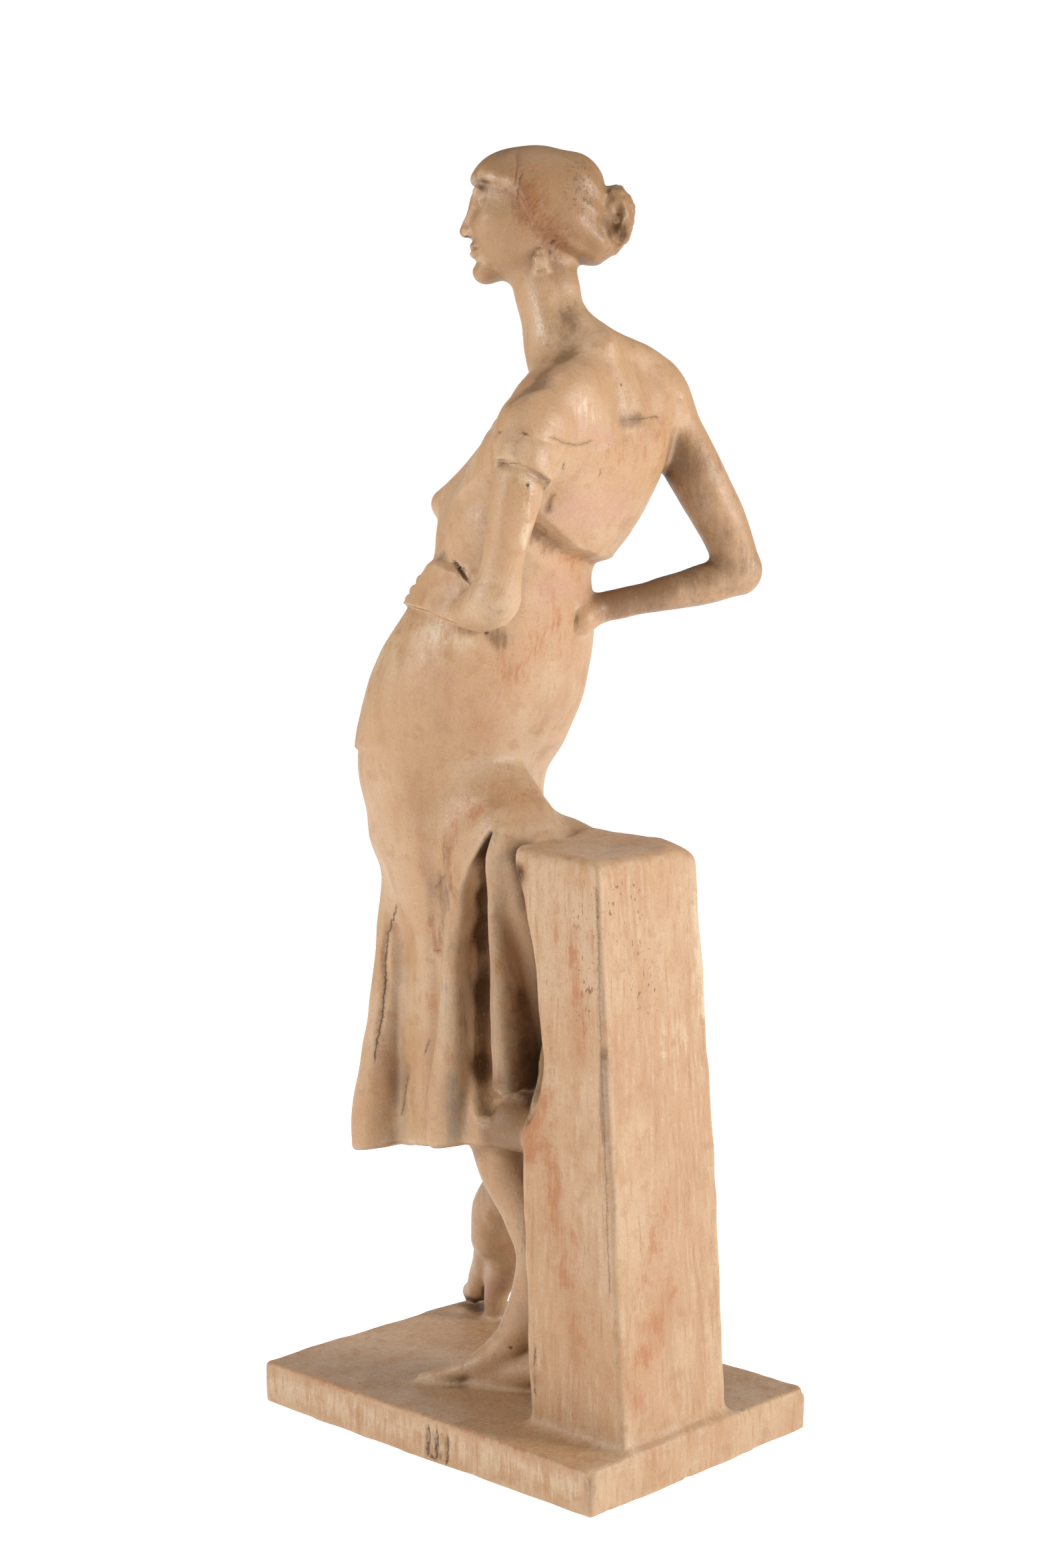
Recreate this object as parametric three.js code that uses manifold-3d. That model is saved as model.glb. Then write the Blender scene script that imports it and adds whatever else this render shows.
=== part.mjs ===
// A fired-clay figure of a woman in a dress of the 1920s. She leans back on a square post, her left
// forearm lies across her belly and her right hand rests on the small of her back.
// Plinth, post and figure were modelled and fired as one, so they are one solid.
//
// Millimetres, +Z up. The origin is the middle of the plinth's underside, she faces -Y,
// and her left side is +X.

import * as THREE from 'three';
import { mergeVertices } from 'three/addons/utils/BufferGeometryUtils.js';
import Module from 'manifold-3d';

// Driving sizes.

const PLINTH = { width: 153, depth: 216, height: 21, corner: 3 };
const POST = {
  foot: 17, // it starts inside the plinth
  top: 285,
  rounding: 16, // the higher, the sharper its four edges
  below: { x: 16, y: 76, faces: [[0, 36], [90, 28], [180, 37], [270, 29]] }, // [direction, distance]
  above: { x: 18, y: 62, faces: [[-9, 34], [97, 28], [182, 35], [270, 30]] },
};

// The skirt and trunk, from the hem up: centre, half width and half depth of each level.
const BODY = [
  { z: 133, x: 3, y: -20, wide: 40, deep: 56 },
  { z: 165, x: 3, y: -20, wide: 39, deep: 53 },
  { z: 205, x: 4, y: -20, wide: 38, deep: 49 },
  { z: 240, x: 6, y: -21, wide: 38, deep: 47 },
  { z: 264, x: 8, y: -24, wide: 39, deep: 46 },
  { z: 281, x: 9, y: -31, wide: 41, deep: 44 },
  { z: 297, x: 9, y: -41, wide: 45, deep: 39 },
  { z: 313, x: 9, y: -43, wide: 49, deep: 39 },
  { z: 330, x: 8, y: -37, wide: 53, deep: 43 },
  { z: 348, x: 8, y: -29, wide: 55, deep: 44 },
  { z: 365, x: 7, y: -24, wide: 54, deep: 44 },
  { z: 381, x: 7, y: -18, wide: 51, deep: 42 },
  { z: 393, x: 7, y: -13, wide: 46, deep: 38 },
  { z: 404, x: 7, y: -8, wide: 43, deep: 34 },
  { z: 415, x: 7, y: -1, wide: 43, deep: 33 },
  { z: 428, x: 6, y: 7, wide: 48, deep: 35 },
  { z: 442, x: 5, y: 17, wide: 51, deep: 35 },
  { z: 457, x: 4, y: 29, wide: 52, deep: 32 },
  { z: 471, x: 3, y: 36, wide: 52, deep: 28 },
  { z: 483, x: 2, y: 38, wide: 47, deep: 23 },
  { z: 494, x: 2, y: 36, wide: 36, deep: 20 },
  { z: 505, x: 2, y: 31, wide: 23, deep: 18 },
];
const BODY_ROUNDNESS = 2.25; // 2 is an ellipse, more is boxier
const SADDLE = { x: 13, y: 16, wide: 32, deep: 33, from: 137, to: 289, slope: 5 };

// The flounce fans out below the knees in pleats: direction, half width, depth at the hem, start.
const PLEATS = [
  { turn: -52, spread: 20, out: 17, from: 296 },
  { turn: 27, spread: 14, out: 13, from: 296 },
  { turn: 53, spread: 9, out: 12, from: 284 },
  { turn: -95, spread: 16, out: 10, from: 275 },
  { turn: -137, spread: 16, out: 10, from: 275 },
  { turn: 180, spread: 18, out: 10, from: 280 },
];

// The dress steps out where the tunic ends over the hips and where the bodice bags over the waist.
const TUNIC = { hem: 327, out: 2.2, turn: -55, spread: 75 };
const BODICE = { hem: 417, out: 4.5, turn: 75, spread: 62, fade: 40 };

// Each limb is a row of joints: [x, y, z, radius].
const LEFT_ARM = [[55, 47, 474, 14], [61, 50, 455, 12.8], [65, 51, 430, 12.2], [67, 46, 403, 12.6]];
const LEFT_FOREARM = [[67, 45, 399, 12.6], [58, 15, 398, 11], [46, -6, 401, 9.5], [36, -28, 402, 9]];
const RIGHT_ARM = [[-46, 37, 490, 14.5], [-55, 48, 470, 14.3], [-63, 56, 449, 13.2],
  [-72, 60, 430, 11.8], [-80, 60, 413, 10.5]];
const RIGHT_FOREARM = [[-80, 60, 412, 10.6], [-52, 42, 401, 9], [-35, 30, 396, 7.8], [-22, 21, 392, 9.5]];
const NECK = [[2, 36, 498, 21], [3, 23, 516, 17.5], [4, 14, 532, 15.6], [4, 12, 552, 15.4]];
const LEFT_LEG = [[22, -6, 150, 15.5], [20, 1, 128, 13.5], [17, 9, 104, 11], [14, 14, 84, 8.4],
  [15, 13, 66, 9.4], [20, 4, 45, 10], [29, -8, 32, 8.6], [38, -21, 25, 5.6], [45, -31, 22, 3]];
const LEFT_HEEL = [[14, 17, 74, 8], [12, 26, 52, 8], [11, 28, 18, 6]];
const RIGHT_LEG = [[-14, -28, 150, 16], [-24, -34, 122, 14], [-31, -42, 99, 12.2],
  [-38, -54, 77, 10.6], [-43, -66, 55, 9.6], [-51, -84, 35, 8.2], [-58, -100, 25, 5]];
const RIGHT_HEEL = [[-39, -54, 74, 9], [-40, -56, 56, 7], [-42, -66, 18, 4]];

// The left hand lies on the belly with the fingers side by side.
const HAND = { knuckles: [20, -47, 402], tips: [2, -80, 399], fingers: 4, spacing: 5.6, thick: 3.6 };

// The head, in its own frame: front is -Y and its left is +X before it is turned.
const HEAD = { at: [3, 11, 577], turn: 43.5, tilt: 2 };
const SKULL = { at: [0, 3, 2], half: [24.5, 30, 29.5] };
const JAW = { at: [0, -11, -16], half: [18.5, 17, 17] };
const CHIN = { at: [0, -21, -28], half: [8, 7, 6] };
const HAIR = { at: [0, 6, 4], half: [27.5, 32.5, 30.5], fringe: 12, nape: -24, lean: 0.62 };
const BUN = { at: [0, 36, -5], half: [13, 10, 17], hollow: [0, 47, -6], hollowHalf: [4, 4, 10] };
const NOSE = { bridge: [0, -27, 3], tip: [0, -33, -7], width: 4.2 };
const EYES = { apart: 10.5, front: -23.5, height: 0.5, half: [5.2, 4.2, 2.8] };
const BROWS = { apart: 10, front: -25.2, height: 5.5, half: [8, 3.2, 1.8] };
const LIPS = { front: -27.4, height: -15.6, half: [6, 3.2, 1.5], gap: 2.3 };
const EARRING = { side: 24, front: 1, height: -13, half: [2, 3, 3] };

const CLAY = new THREE.MeshStandardMaterial({ color: 0xc9a27c, roughness: 0.6, metalness: 0 });

const wasm = await Module();
wasm.setup();

const radians = THREE.MathUtils.degToRad;
const clamp = THREE.MathUtils.clamp;

// A closed three.js geometry as a solid that can be joined and cut.
function solid(geometry) {
  geometry.deleteAttribute('normal');
  geometry.deleteAttribute('uv');
  const merged = mergeVertices(geometry, 1e-4);
  return new wasm.Manifold(new wasm.Mesh({
    numProp: 3,
    vertProperties: new Float32Array(merged.attributes.position.array),
    triVerts: new Uint32Array(merged.index.array),
  }));
}

function join(solids) {
  return solids.reduce((sum, next) => sum.add(next));
}

// A cylinder whose rings are laid anew: place(angle, height, reach) gives each of its points,
// where the height runs from 0 to 1 and the reach is 0 in the middle of an end and 1 outside.
function loft(around, along, place) {
  const geometry = new THREE.CylinderGeometry(1, 1, 1, around, along);
  const points = geometry.attributes.position;
  for (let i = 0; i < points.count; i += 1) {
    const reach = Math.hypot(points.getX(i), points.getZ(i)) > 0.5 ? 1 : 0;
    const angle = Math.atan2(points.getX(i), points.getZ(i));
    const spot = place(angle, points.getY(i) + 0.5, reach);
    points.setXYZ(i, spot.x, spot.y, spot.z);
  }
  return solid(geometry);
}

function smoothCurve(points) {
  return new THREE.CatmullRomCurve3(points, false, 'catmullrom', 0.5);
}

// A round limb along its joints, with a blunt end at both ends.
function limb(joints, around = 10, stepsPerJoint = 2, blunt = 0.12) {
  const path = smoothCurve(joints.map(([x, y, z]) => new THREE.Vector3(x, y, z)));
  const girth = smoothCurve(joints.map(([, , , radius], i) => new THREE.Vector3(radius, i, 0)));
  const ends = 2;
  const along = (joints.length - 1) * stepsPerJoint + 2 * ends;
  const across = new THREE.Vector3(0.31, 0.2, 0.93);
  if (Math.abs(path.getTangent(0.5).dot(across)) > 0.8) {
    across.set(0.9, -0.4, 0.1);
  }
  return loft(around, along, (angle, height, reach) => {
    const ring = Math.round(height * along);
    const fromStart = clamp((ring - ends) / (along - 2 * ends), 0, 1);
    const overStart = Math.max(ends - ring, 0) / ends;
    const overEnd = Math.max(ring - along + ends, 0) / ends;
    const over = Math.max(overStart, overEnd);
    const tangent = path.getTangent(fromStart);
    const side = new THREE.Vector3().crossVectors(across, tangent).normalize();
    const up = new THREE.Vector3().crossVectors(tangent, side);
    const radius = girth.getPoint(fromStart).x;
    const roundness = over > 0 ? Math.cos(over * Math.PI * 0.38) : 1;
    const push = radius * Math.sin(over * Math.PI * 0.38) * (overEnd > 0 ? 1 : -1);
    return path.getPoint(fromStart)
      .addScaledVector(tangent, over > 0 ? push : 0)
      .addScaledVector(side, Math.cos(angle) * radius * roundness * reach)
      .addScaledVector(up, Math.sin(angle) * radius * roundness * reach);
  });
}

// An egg shape from its centre and half sizes.
function egg({ at, half }, around = 14, rings = 8) {
  const geometry = new THREE.SphereGeometry(1, around, rings);
  geometry.scale(...half);
  geometry.translate(...at);
  return solid(geometry);
}

// How far a direction lies from another, in degrees.
function between(degrees, other) {
  return Math.abs(THREE.MathUtils.euclideanModulo(degrees - other + 180, 360) - 180);
}

function hump(distance, spread) {
  return Math.exp(-((distance / spread) ** 2));
}

function plinth() {
  const { width, depth, height, corner } = PLINTH;
  const [right, back] = [width / 2 - 1, depth / 2 - 1];
  const outline = new THREE.Shape();
  outline.moveTo(-right + corner, -back);
  outline.lineTo(right - corner, -back);
  outline.lineTo(right, -back + corner);
  outline.lineTo(right, back - corner);
  outline.lineTo(right - corner, back);
  outline.lineTo(-right + corner, back);
  outline.lineTo(-right, back - corner);
  outline.lineTo(-right, -back + corner);
  outline.closePath();
  const slab = new THREE.ExtrudeGeometry(outline, {
    depth: height - 2, bevelEnabled: true, bevelThickness: 1, bevelSize: 1, bevelSegments: 1,
  });
  slab.translate(0, 0, 1);
  return solid(slab);
}

// The post is four leaning faces whose edges are worn round.
function post() {
  const { foot, top, rounding, below, above } = POST;
  const reachOf = (degrees, level) => {
    const total = below.faces.reduce((sum, [turn, distance], i) => {
      const direction = THREE.MathUtils.lerp(turn, above.faces[i][0], level);
      const away = THREE.MathUtils.lerp(distance, above.faces[i][1], level);
      const facing = Math.max(Math.cos(radians(degrees - direction)), 0);
      return sum + (facing / away) ** rounding;
    }, 0);
    return total ** (-1 / rounding);
  };
  const levels = [0, 0.05, 0.12, 0.35, 0.6, 0.82, 0.95, 0.985, 1];
  return loft(24, levels.length - 1, (angle, height, reach) => {
    const level = levels[Math.round(height * (levels.length - 1))];
    const flare = 3 * hump(level, 0.07);
    const worn = level === 1 ? 5 : Math.max(0, level - 0.98) * 100;
    const out = (reachOf(THREE.MathUtils.radToDeg(angle), level) + flare - worn) * reach;
    return new THREE.Vector3(
      THREE.MathUtils.lerp(below.x, above.x, level) + Math.cos(angle) * out,
      THREE.MathUtils.lerp(below.y, above.y, level) + Math.sin(angle) * out,
      THREE.MathUtils.lerp(foot, top, level) + (1 - reach) * (level === 1 ? -1.5 : 0),
    );
  });
}

// The trunk and skirt as one stack of rings, with the pleats and the two steps of the dress.
function body() {
  const spine = smoothCurve(BODY.map(({ x, y, z }) => new THREE.Vector3(x, y, z)));
  const girth = smoothCurve(BODY.map(({ wide, deep }, i) => new THREE.Vector3(wide, deep, i)));
  const along = 40;
  return loft(36, along, (angle, height, reach) => {
    const centre = spine.getPoint(height);
    const { x: wide, y: deep } = girth.getPoint(height);
    const degrees = THREE.MathUtils.radToDeg(angle);
    const power = BODY_ROUNDNESS;
    let out = (Math.abs(Math.cos(angle) / wide) ** power
      + Math.abs(Math.sin(angle) / deep) ** power) ** (-1 / power);
    for (const { turn, spread, out: depth, from } of PLEATS) {
      const opened = clamp((from - centre.z) / (from - BODY[0].z), 0, 1);
      out += depth * opened ** 1.1 * hump(between(degrees, turn), spread);
    }
    if (centre.z > TUNIC.hem && centre.z < BODICE.hem) {
      const fade = 1 - (centre.z - TUNIC.hem) / (BODICE.hem - TUNIC.hem);
      out += TUNIC.out * fade * hump(between(degrees, TUNIC.turn), TUNIC.spread);
    }
    if (centre.z > BODICE.hem) {
      const fade = clamp(1 - (centre.z - BODICE.hem) / BODICE.fade, 0, 1);
      out += BODICE.out * fade * hump(between(degrees, BODICE.turn), BODICE.spread);
    }
    return new THREE.Vector3(
      centre.x + Math.cos(angle) * out * reach,
      centre.y + Math.sin(angle) * out * reach,
      centre.z,
    );
  });
}

// The clay behind her thighs that ties the skirt to the post.
function saddle() {
  const { x, y, wide, deep, from, to, slope } = SADDLE;
  return loft(20, 8, (angle, height, reach) => {
    const out = (Math.abs(Math.cos(angle) / wide) ** 5
      + Math.abs(Math.sin(angle) / deep) ** 5) ** (-1 / 5);
    const spot = new THREE.Vector3(x + Math.cos(angle) * out * reach,
      y + Math.sin(angle) * out * reach, THREE.MathUtils.lerp(from, to, height));
    spot.z += height * slope * (y - spot.y) / deep;
    return spot;
  });
}

function bosom() {
  return join([-1, 1].map((side) => {
    const breast = new THREE.SphereGeometry(1, 14, 10);
    breast.scale(17, 17, 16);
    breast.translate(4 + side * 20, -9, 447);
    return solid(breast);
  }));
}

function shoulders() {
  return join([
    egg({ at: [48, 43, 474], half: [16, 14, 14] }, 14, 8),
    egg({ at: [-42, 37, 489], half: [18, 14, 13] }, 14, 8),
    limb([[46, 42, 478, 12], [20, 37, 492, 13], [-20, 36, 496, 13], [-42, 37, 492, 12]], 12, 2),
  ]);
}

// Four fingers side by side, curled a little over the belly, and the back of the hand.
function leftHand() {
  const { knuckles, tips, fingers, spacing, thick } = HAND;
  const wrist = LEFT_FOREARM.at(-1);
  const parts = [limb([[...wrist.slice(0, 3), 9], [...knuckles, 8.5]], 12, 2)];
  for (let i = 0; i < fingers; i += 1) {
    const rise = (i - (fingers - 1) / 2) * spacing;
    const [kx, ky, kz] = knuckles;
    const [tx, ty, tz] = tips;
    const longest = 1 - 0.06 * Math.abs(i - 1.6);
    parts.push(limb([
      [kx, ky, kz + rise * 0.8, thick + 0.8],
      [kx + 2 + (tx - kx) * 0.5, ky - 3 + (ty - ky) * 0.5, kz + rise, thick + 0.4],
      [kx + (tx - kx) * longest, ky + (ty - ky) * longest, tz + rise, thick - 0.4],
    ], 6, 2));
  }
  return join(parts);
}

// The hair is a cap that a slanting plane cuts off along the fringe, the temples and the nape.
function hair() {
  const { at, half, fringe, nape, lean } = HAIR;
  const cap = egg({ at, half }, 18, 12);
  const below = new THREE.BoxGeometry(90, 90, 60);
  below.translate(0, 0, -30);
  below.rotateX(-Math.atan(lean));
  below.translate(0, -12, (fringe + nape) / 2 + 2);
  return cap.subtract(solid(below));
}

// A calm, plain face of ordinary proportions.
function face() {
  const { bridge, tip, width } = NOSE;
  const nose = limb([[...bridge, width * 0.55], [0, (bridge[1] + tip[1]) / 2 - 0.6, -2, width * 0.7],
    [...tip, width * 0.85]], 8, 2);
  const pair = ({ apart, front, height, half }) => [-1, 1].map((side) => (
    egg({ at: [side * apart, front + 1.5, height], half }, 10, 6)));
  const { front, height, half, gap } = LIPS;
  const lips = [0.5, -0.5].map((step) => egg({ at: [0, front, height + step * gap], half }, 10, 6));
  return join([nose, ...pair(EYES), ...pair(BROWS), ...lips]);
}

function head() {
  const { side, front, height, half } = EARRING;
  const earrings = [-1, 1].map((hand) => egg({ at: [hand * side, front, height], half }, 8, 6));
  const bun = egg(BUN, 12, 8).subtract(egg({ at: BUN.hollow, half: BUN.hollowHalf }, 8, 6));
  const whole = join([egg(SKULL, 18, 10), egg(JAW, 12, 8), egg(CHIN, 8, 6), face(), hair(), bun,
    ...earrings]);
  return whole.rotate([HEAD.tilt, 0, HEAD.turn]).translate(HEAD.at);
}

const figure = join([
  plinth(), post(), body(), saddle(), bosom(), shoulders(),
  limb(LEFT_ARM), limb(LEFT_FOREARM), leftHand(), limb(RIGHT_ARM), limb(RIGHT_FOREARM),
  limb(NECK, 16, 2), head(),
  limb(LEFT_LEG, 10, 2), limb(LEFT_HEEL, 8, 2), limb(RIGHT_LEG, 10, 2), limb(RIGHT_HEEL, 8, 2),
]);

const { vertProperties, triVerts } = figure.getMesh();
const surface = new THREE.BufferGeometry();
surface.setAttribute('position', new THREE.BufferAttribute(vertProperties, 3));
surface.setIndex(new THREE.BufferAttribute(triVerts, 1));
surface.computeVertexNormals();

const mesh = new THREE.Mesh(surface, CLAY);
mesh.name = 'terracotta_figure';

const group = new THREE.Group();
group.add(mesh);

export default group;
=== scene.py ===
# %% [markdown]
# A fired-clay statuette of a woman in a low-backed dress of the 1920s. She leans back on a square
# post with her left forearm over her belly and her right hand behind her back.
# Post, plinth and figure were modelled as one lump of clay and fired together.
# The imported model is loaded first, because it fixes where everything is.

import json
import math
from concurrent.futures import ThreadPoolExecutor

import bpy
import numpy as np
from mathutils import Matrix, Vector


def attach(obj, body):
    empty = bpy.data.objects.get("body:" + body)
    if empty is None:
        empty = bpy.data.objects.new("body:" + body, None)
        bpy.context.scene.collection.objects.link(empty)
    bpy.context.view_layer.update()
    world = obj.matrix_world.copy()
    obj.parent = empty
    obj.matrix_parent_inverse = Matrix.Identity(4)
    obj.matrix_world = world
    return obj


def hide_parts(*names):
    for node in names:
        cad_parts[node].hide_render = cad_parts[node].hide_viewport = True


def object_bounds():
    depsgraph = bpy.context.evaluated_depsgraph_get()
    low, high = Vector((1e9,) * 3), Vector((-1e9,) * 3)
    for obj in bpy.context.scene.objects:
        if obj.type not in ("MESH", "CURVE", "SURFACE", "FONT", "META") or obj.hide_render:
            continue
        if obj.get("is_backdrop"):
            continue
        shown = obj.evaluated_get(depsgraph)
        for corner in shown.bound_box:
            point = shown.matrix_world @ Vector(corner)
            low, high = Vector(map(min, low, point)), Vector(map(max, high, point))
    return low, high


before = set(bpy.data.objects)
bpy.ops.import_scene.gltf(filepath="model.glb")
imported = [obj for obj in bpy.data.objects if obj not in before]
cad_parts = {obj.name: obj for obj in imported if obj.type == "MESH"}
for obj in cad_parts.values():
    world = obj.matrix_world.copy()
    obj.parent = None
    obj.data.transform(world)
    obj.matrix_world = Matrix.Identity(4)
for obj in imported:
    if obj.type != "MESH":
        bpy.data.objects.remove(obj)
bounds_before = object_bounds()
NODE = "terracotta_figure"
print("frame nodes:", sorted(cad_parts))

# %% [markdown]
# The photographer stood behind her left shoulder, a little above the waist, with a normal lens.
# The place and angles were worked out from the plinth's four corners. The photograph is upright, so
# the sensor's long side is its height.

# %% Camera
MM = 0.001
PHOTO_WIDTH = 1568
PHOTO_HEIGHT = 2352
CAMERA_AT = (0.809, 0.764, 0.397)
CAMERA_PAN = math.radians(-133.56)
CAMERA_TILT = math.radians(-4.5)
SENSOR_LONG_SIDE = 36
FOCAL_LENGTH = 53.57
NEAREST_SEEN = 0.05


def looking():
    """The direction in which the camera looks."""
    level = math.cos(CAMERA_TILT)
    return Vector((level * math.sin(CAMERA_PAN), level * math.cos(CAMERA_PAN), math.sin(CAMERA_TILT)))


def make_camera():
    data = bpy.data.cameras.new("camera")
    data.sensor_width = SENSOR_LONG_SIDE
    data.lens = FOCAL_LENGTH
    data.clip_start = NEAREST_SEEN
    camera = bpy.data.objects.new("camera", data)
    bpy.context.scene.collection.objects.link(camera)
    camera.location = CAMERA_AT
    camera.rotation_euler = looking().to_track_quat("-Z", "Y").to_euler()
    bpy.context.scene.camera = camera
    return camera


camera = make_camera()
print("camera at", CAMERA_AT)

# %% [markdown]
# The clay is described as a field: for any point it says how far the surface is, negative inside.
# A sculptor adds lumps and smears the joins, and a field does the same, because two forms can be
# blended over any width and a hollow can be pressed in with the same soft edge.
# All lengths of the clay are in millimetres. P is always an array of points, one to a row.

# %% Blending
def blend(a, b, width):
    """Both forms, with the join smeared over the width."""
    near = np.maximum(width - np.abs(a - b), 0) / width
    return np.minimum(a, b) - near * near * width * 0.25


def keep(a, b, width):
    """Only what is inside both forms, with the edge worn over the width."""
    return -blend(-a, -b, width)


def press(clay, tool, width):
    """The clay with a tool's shape pressed out of it."""
    return -blend(-clay, tool, width)


def dent(clay, tool, depth, spread):
    """A soft hollow under the tool's shape that fades out over the spread."""
    return clay + depth * np.exp(-((np.maximum(tool, 0) / spread) ** 2))


def smooth_step(low, high, x):
    t = np.clip((x - low) / (high - low), 0, 1)
    return t * t * (3 - 2 * t)


def hump(x, spread):
    return np.exp(-((x / spread) ** 2))


# %% [markdown]
# Three forms are enough for most of the figure: an egg, a limb along a row of joints, and a slab.

# %% Forms
FAR = 40.0
FINE_STEPS = 800
HALF_STEP = 0.5
MOST_SLIDE = 4
TINY = 1e-9


def turned(degrees):
    """Rows of a rotation about X, then Y, then Z."""
    x, y, z = np.radians(degrees)
    about_x = np.array([[1, 0, 0], [0, math.cos(x), -math.sin(x)], [0, math.sin(x), math.cos(x)]])
    about_y = np.array([[math.cos(y), 0, math.sin(y)], [0, 1, 0], [-math.sin(y), 0, math.cos(y)]])
    about_z = np.array([[math.cos(z), -math.sin(z), 0], [math.sin(z), math.cos(z), 0], [0, 0, 1]])
    return about_z @ about_y @ about_x


def length(rows):
    return np.sqrt(np.einsum("ij,ij->i", rows, rows))


def egg(P, centre, half, turn=(0, 0, 0)):
    half = np.asarray(half, float) * np.ones(3)
    Q = ((P - np.asarray(centre, float)) @ turned(turn)) / half
    scaled = length(Q)
    steep = length(Q / half) + TINY
    return scaled * (scaled - 1) / steep


def curve_through(levels, values):
    """A smooth curve through a few values, as a function of the level."""
    levels = np.asarray(levels, float)
    values = np.asarray(values, float)
    slopes = np.gradient(values, levels)
    x = np.linspace(levels[0], levels[-1], FINE_STEPS)
    i = np.clip(np.searchsorted(levels, x) - 1, 0, len(levels) - 2)
    gap = levels[i + 1] - levels[i]
    t = (x - levels[i]) / gap
    y = (2 * t**3 - 3 * t**2 + 1) * values[i] + (t**3 - 2 * t**2 + t) * gap * slopes[i]
    y = y + (3 * t**2 - 2 * t**3) * values[i + 1] + (t**3 - t**2) * gap * slopes[i + 1]
    return lambda level: np.interp(level, x, y)


def limb(P, joints, along=None, ratio=1.0):
    """A round limb on a smooth curve through joints of (x, y, z, radius).

    In the direction along, if it is given, the limb is that many times as thick."""
    joints = np.asarray(joints, float)
    levels = np.concatenate([[0], np.cumsum(length(np.diff(joints[:, :3], axis=0)))])
    curve = [curve_through(levels, joints[:, column]) for column in range(4)]
    count = 2 * len(joints) - 1 if len(joints) > 2 else 2
    stops = np.linspace(0, levels[-1], count)
    posts = np.stack([part(stops) for part in curve], axis=-1)
    nearest = np.full(len(P), np.inf)
    level = np.zeros(len(P))
    for i in range(count - 1):
        bone = posts[i + 1, :3] - posts[i, :3]
        rest = P - posts[i, :3]
        t = np.clip(rest @ bone / (bone @ bone), 0, 1)
        away = length(rest - t[:, None] * bone) - posts[i, 3] - (posts[i + 1, 3] - posts[i, 3]) * t
        closer = away < nearest
        nearest[closer] = away[closer]
        level[closer] = (stops[i] + (stops[i + 1] - stops[i]) * t)[closer]
    here = np.stack([part(level) for part in curve[:3]], axis=-1)
    ahead = np.stack([part(level + HALF_STEP) - part(level - HALF_STEP) for part in curve[:3]], axis=-1)
    slide = np.einsum("ij,ij->i", P - here, ahead) / (np.einsum("ij,ij->i", ahead, ahead) + TINY)
    level = np.clip(level + np.clip(slide, -MOST_SLIDE, MOST_SLIDE), 0, levels[-1])
    off = P - np.stack([part(level) for part in curve[:3]], axis=-1)
    if along is not None:
        across = np.asarray(along, float) / np.linalg.norm(along)
        off = off + ((1 / ratio - 1) * (off @ across))[:, None] * across
    return (length(off) - curve[3](level)) * min(1, ratio)


def slab(P, centre, half, round_by, turn=(0, 0, 0)):
    Q = np.abs((P - np.asarray(centre, float)) @ turned(turn)) - (np.asarray(half, float) - round_by)
    deepest = np.maximum(np.maximum(Q[:, 0], Q[:, 1]), Q[:, 2])
    return length(np.maximum(Q, 0)) + np.minimum(deepest, 0) - round_by


def only_near(P, low, high, form):
    """The form's field inside a box, and merely far away outside it, which saves most of the work."""
    field = np.full(len(P), FAR)
    if P[:, 2].max() < low[2] or P[:, 2].min() > high[2]:
        return field
    inside = np.ones(len(P), bool)
    for axis in range(3):
        inside &= (P[:, axis] > low[axis]) & (P[:, axis] < high[axis])
    if inside.any():
        field[inside] = form(P[inside])
    return field


print("forms: egg, limb, slab")

# %% [markdown]
# Clay that is worked by hand is never quite even. A soft random field gives the dents of fingers
# and of the modelling tool, and the same numbers come out on every run.

# %% Unevenness
def lattice_value(i, j, k, seed):
    """A repeatable random number for each corner of a lattice."""
    n = (i * 374761393 + j * 668265263 + k * 2147483647 + seed * 1274126177) & 0xFFFFFFFF
    n = ((n ^ (n >> 13)) * 1274126177) & 0xFFFFFFFF
    return ((n ^ (n >> 16)) & 0xFFFF) / 32767.5 - 1


def uneven(P, size, seed=0):
    """Smooth random values from -1 to 1 that change over the size, one size or one for each axis."""
    Q = P / np.asarray(size, float)
    base = np.floor(Q).astype(np.int64)
    part = Q - base
    part = part * part * (3 - 2 * part)
    total = np.zeros(len(P))
    for corner in range(8):
        step = np.array([corner & 1, corner >> 1 & 1, corner >> 2 & 1])
        weights = np.where(step, part, 1 - part)
        weight = weights[:, 0] * weights[:, 1] * weights[:, 2]
        at = base + step
        total += weight * lattice_value(at[:, 0], at[:, 1], at[:, 2], seed)
    return total


print("unevenness at the origin:", round(float(uneven(np.array([[1.0, 2.0, 3.0]]), 5)[0]), 3))

# %% [markdown]
# The skirt and trunk are one stack of rings. Each level has a centre, a half width and a half depth.
# She stands hips forward: the middle of the rings runs from over the feet out to the thighs,
# and back again over the waist to the shoulders.

# %% Trunk rings
LEVELS = np.array([
    # z, centre x, centre y, half width, half depth
    [133, 3, -20, 39, 54],
    [165, 3, -20, 37, 51],
    [205, 4, -20, 36, 48],
    [240, 6, -21, 37, 46],
    [264, 8, -27, 41, 46.5],
    [281, 9, -35, 43, 47.5],
    [297, 9.5, -41, 45, 39],
    [313, 9, -43, 49, 39],
    [330, 8, -37, 53, 43],
    [348, 8, -29, 55, 44.5],
    [365, 7.5, -24, 54, 44.5],
    [381, 7, -18.5, 51, 42.5],
    [393, 7, -13, 46.5, 38.5],
    [404, 7, -8, 43, 34.5],
    [415, 7, -1.5, 43, 33.5],
    [428, 6, 7, 47, 34],
    [442, 5, 17, 50, 34],
    [458, 4, 29, 51, 32],
    [472, 3, 36, 51, 28],
    [484, 2, 38, 46, 24],
    [496, 2, 38, 36, 20],
    [508, 2, 34, 22, 17],
])
HEM = 134.0
TRUNK_TOP = 508.0
BOXINESS = 2.25
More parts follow.
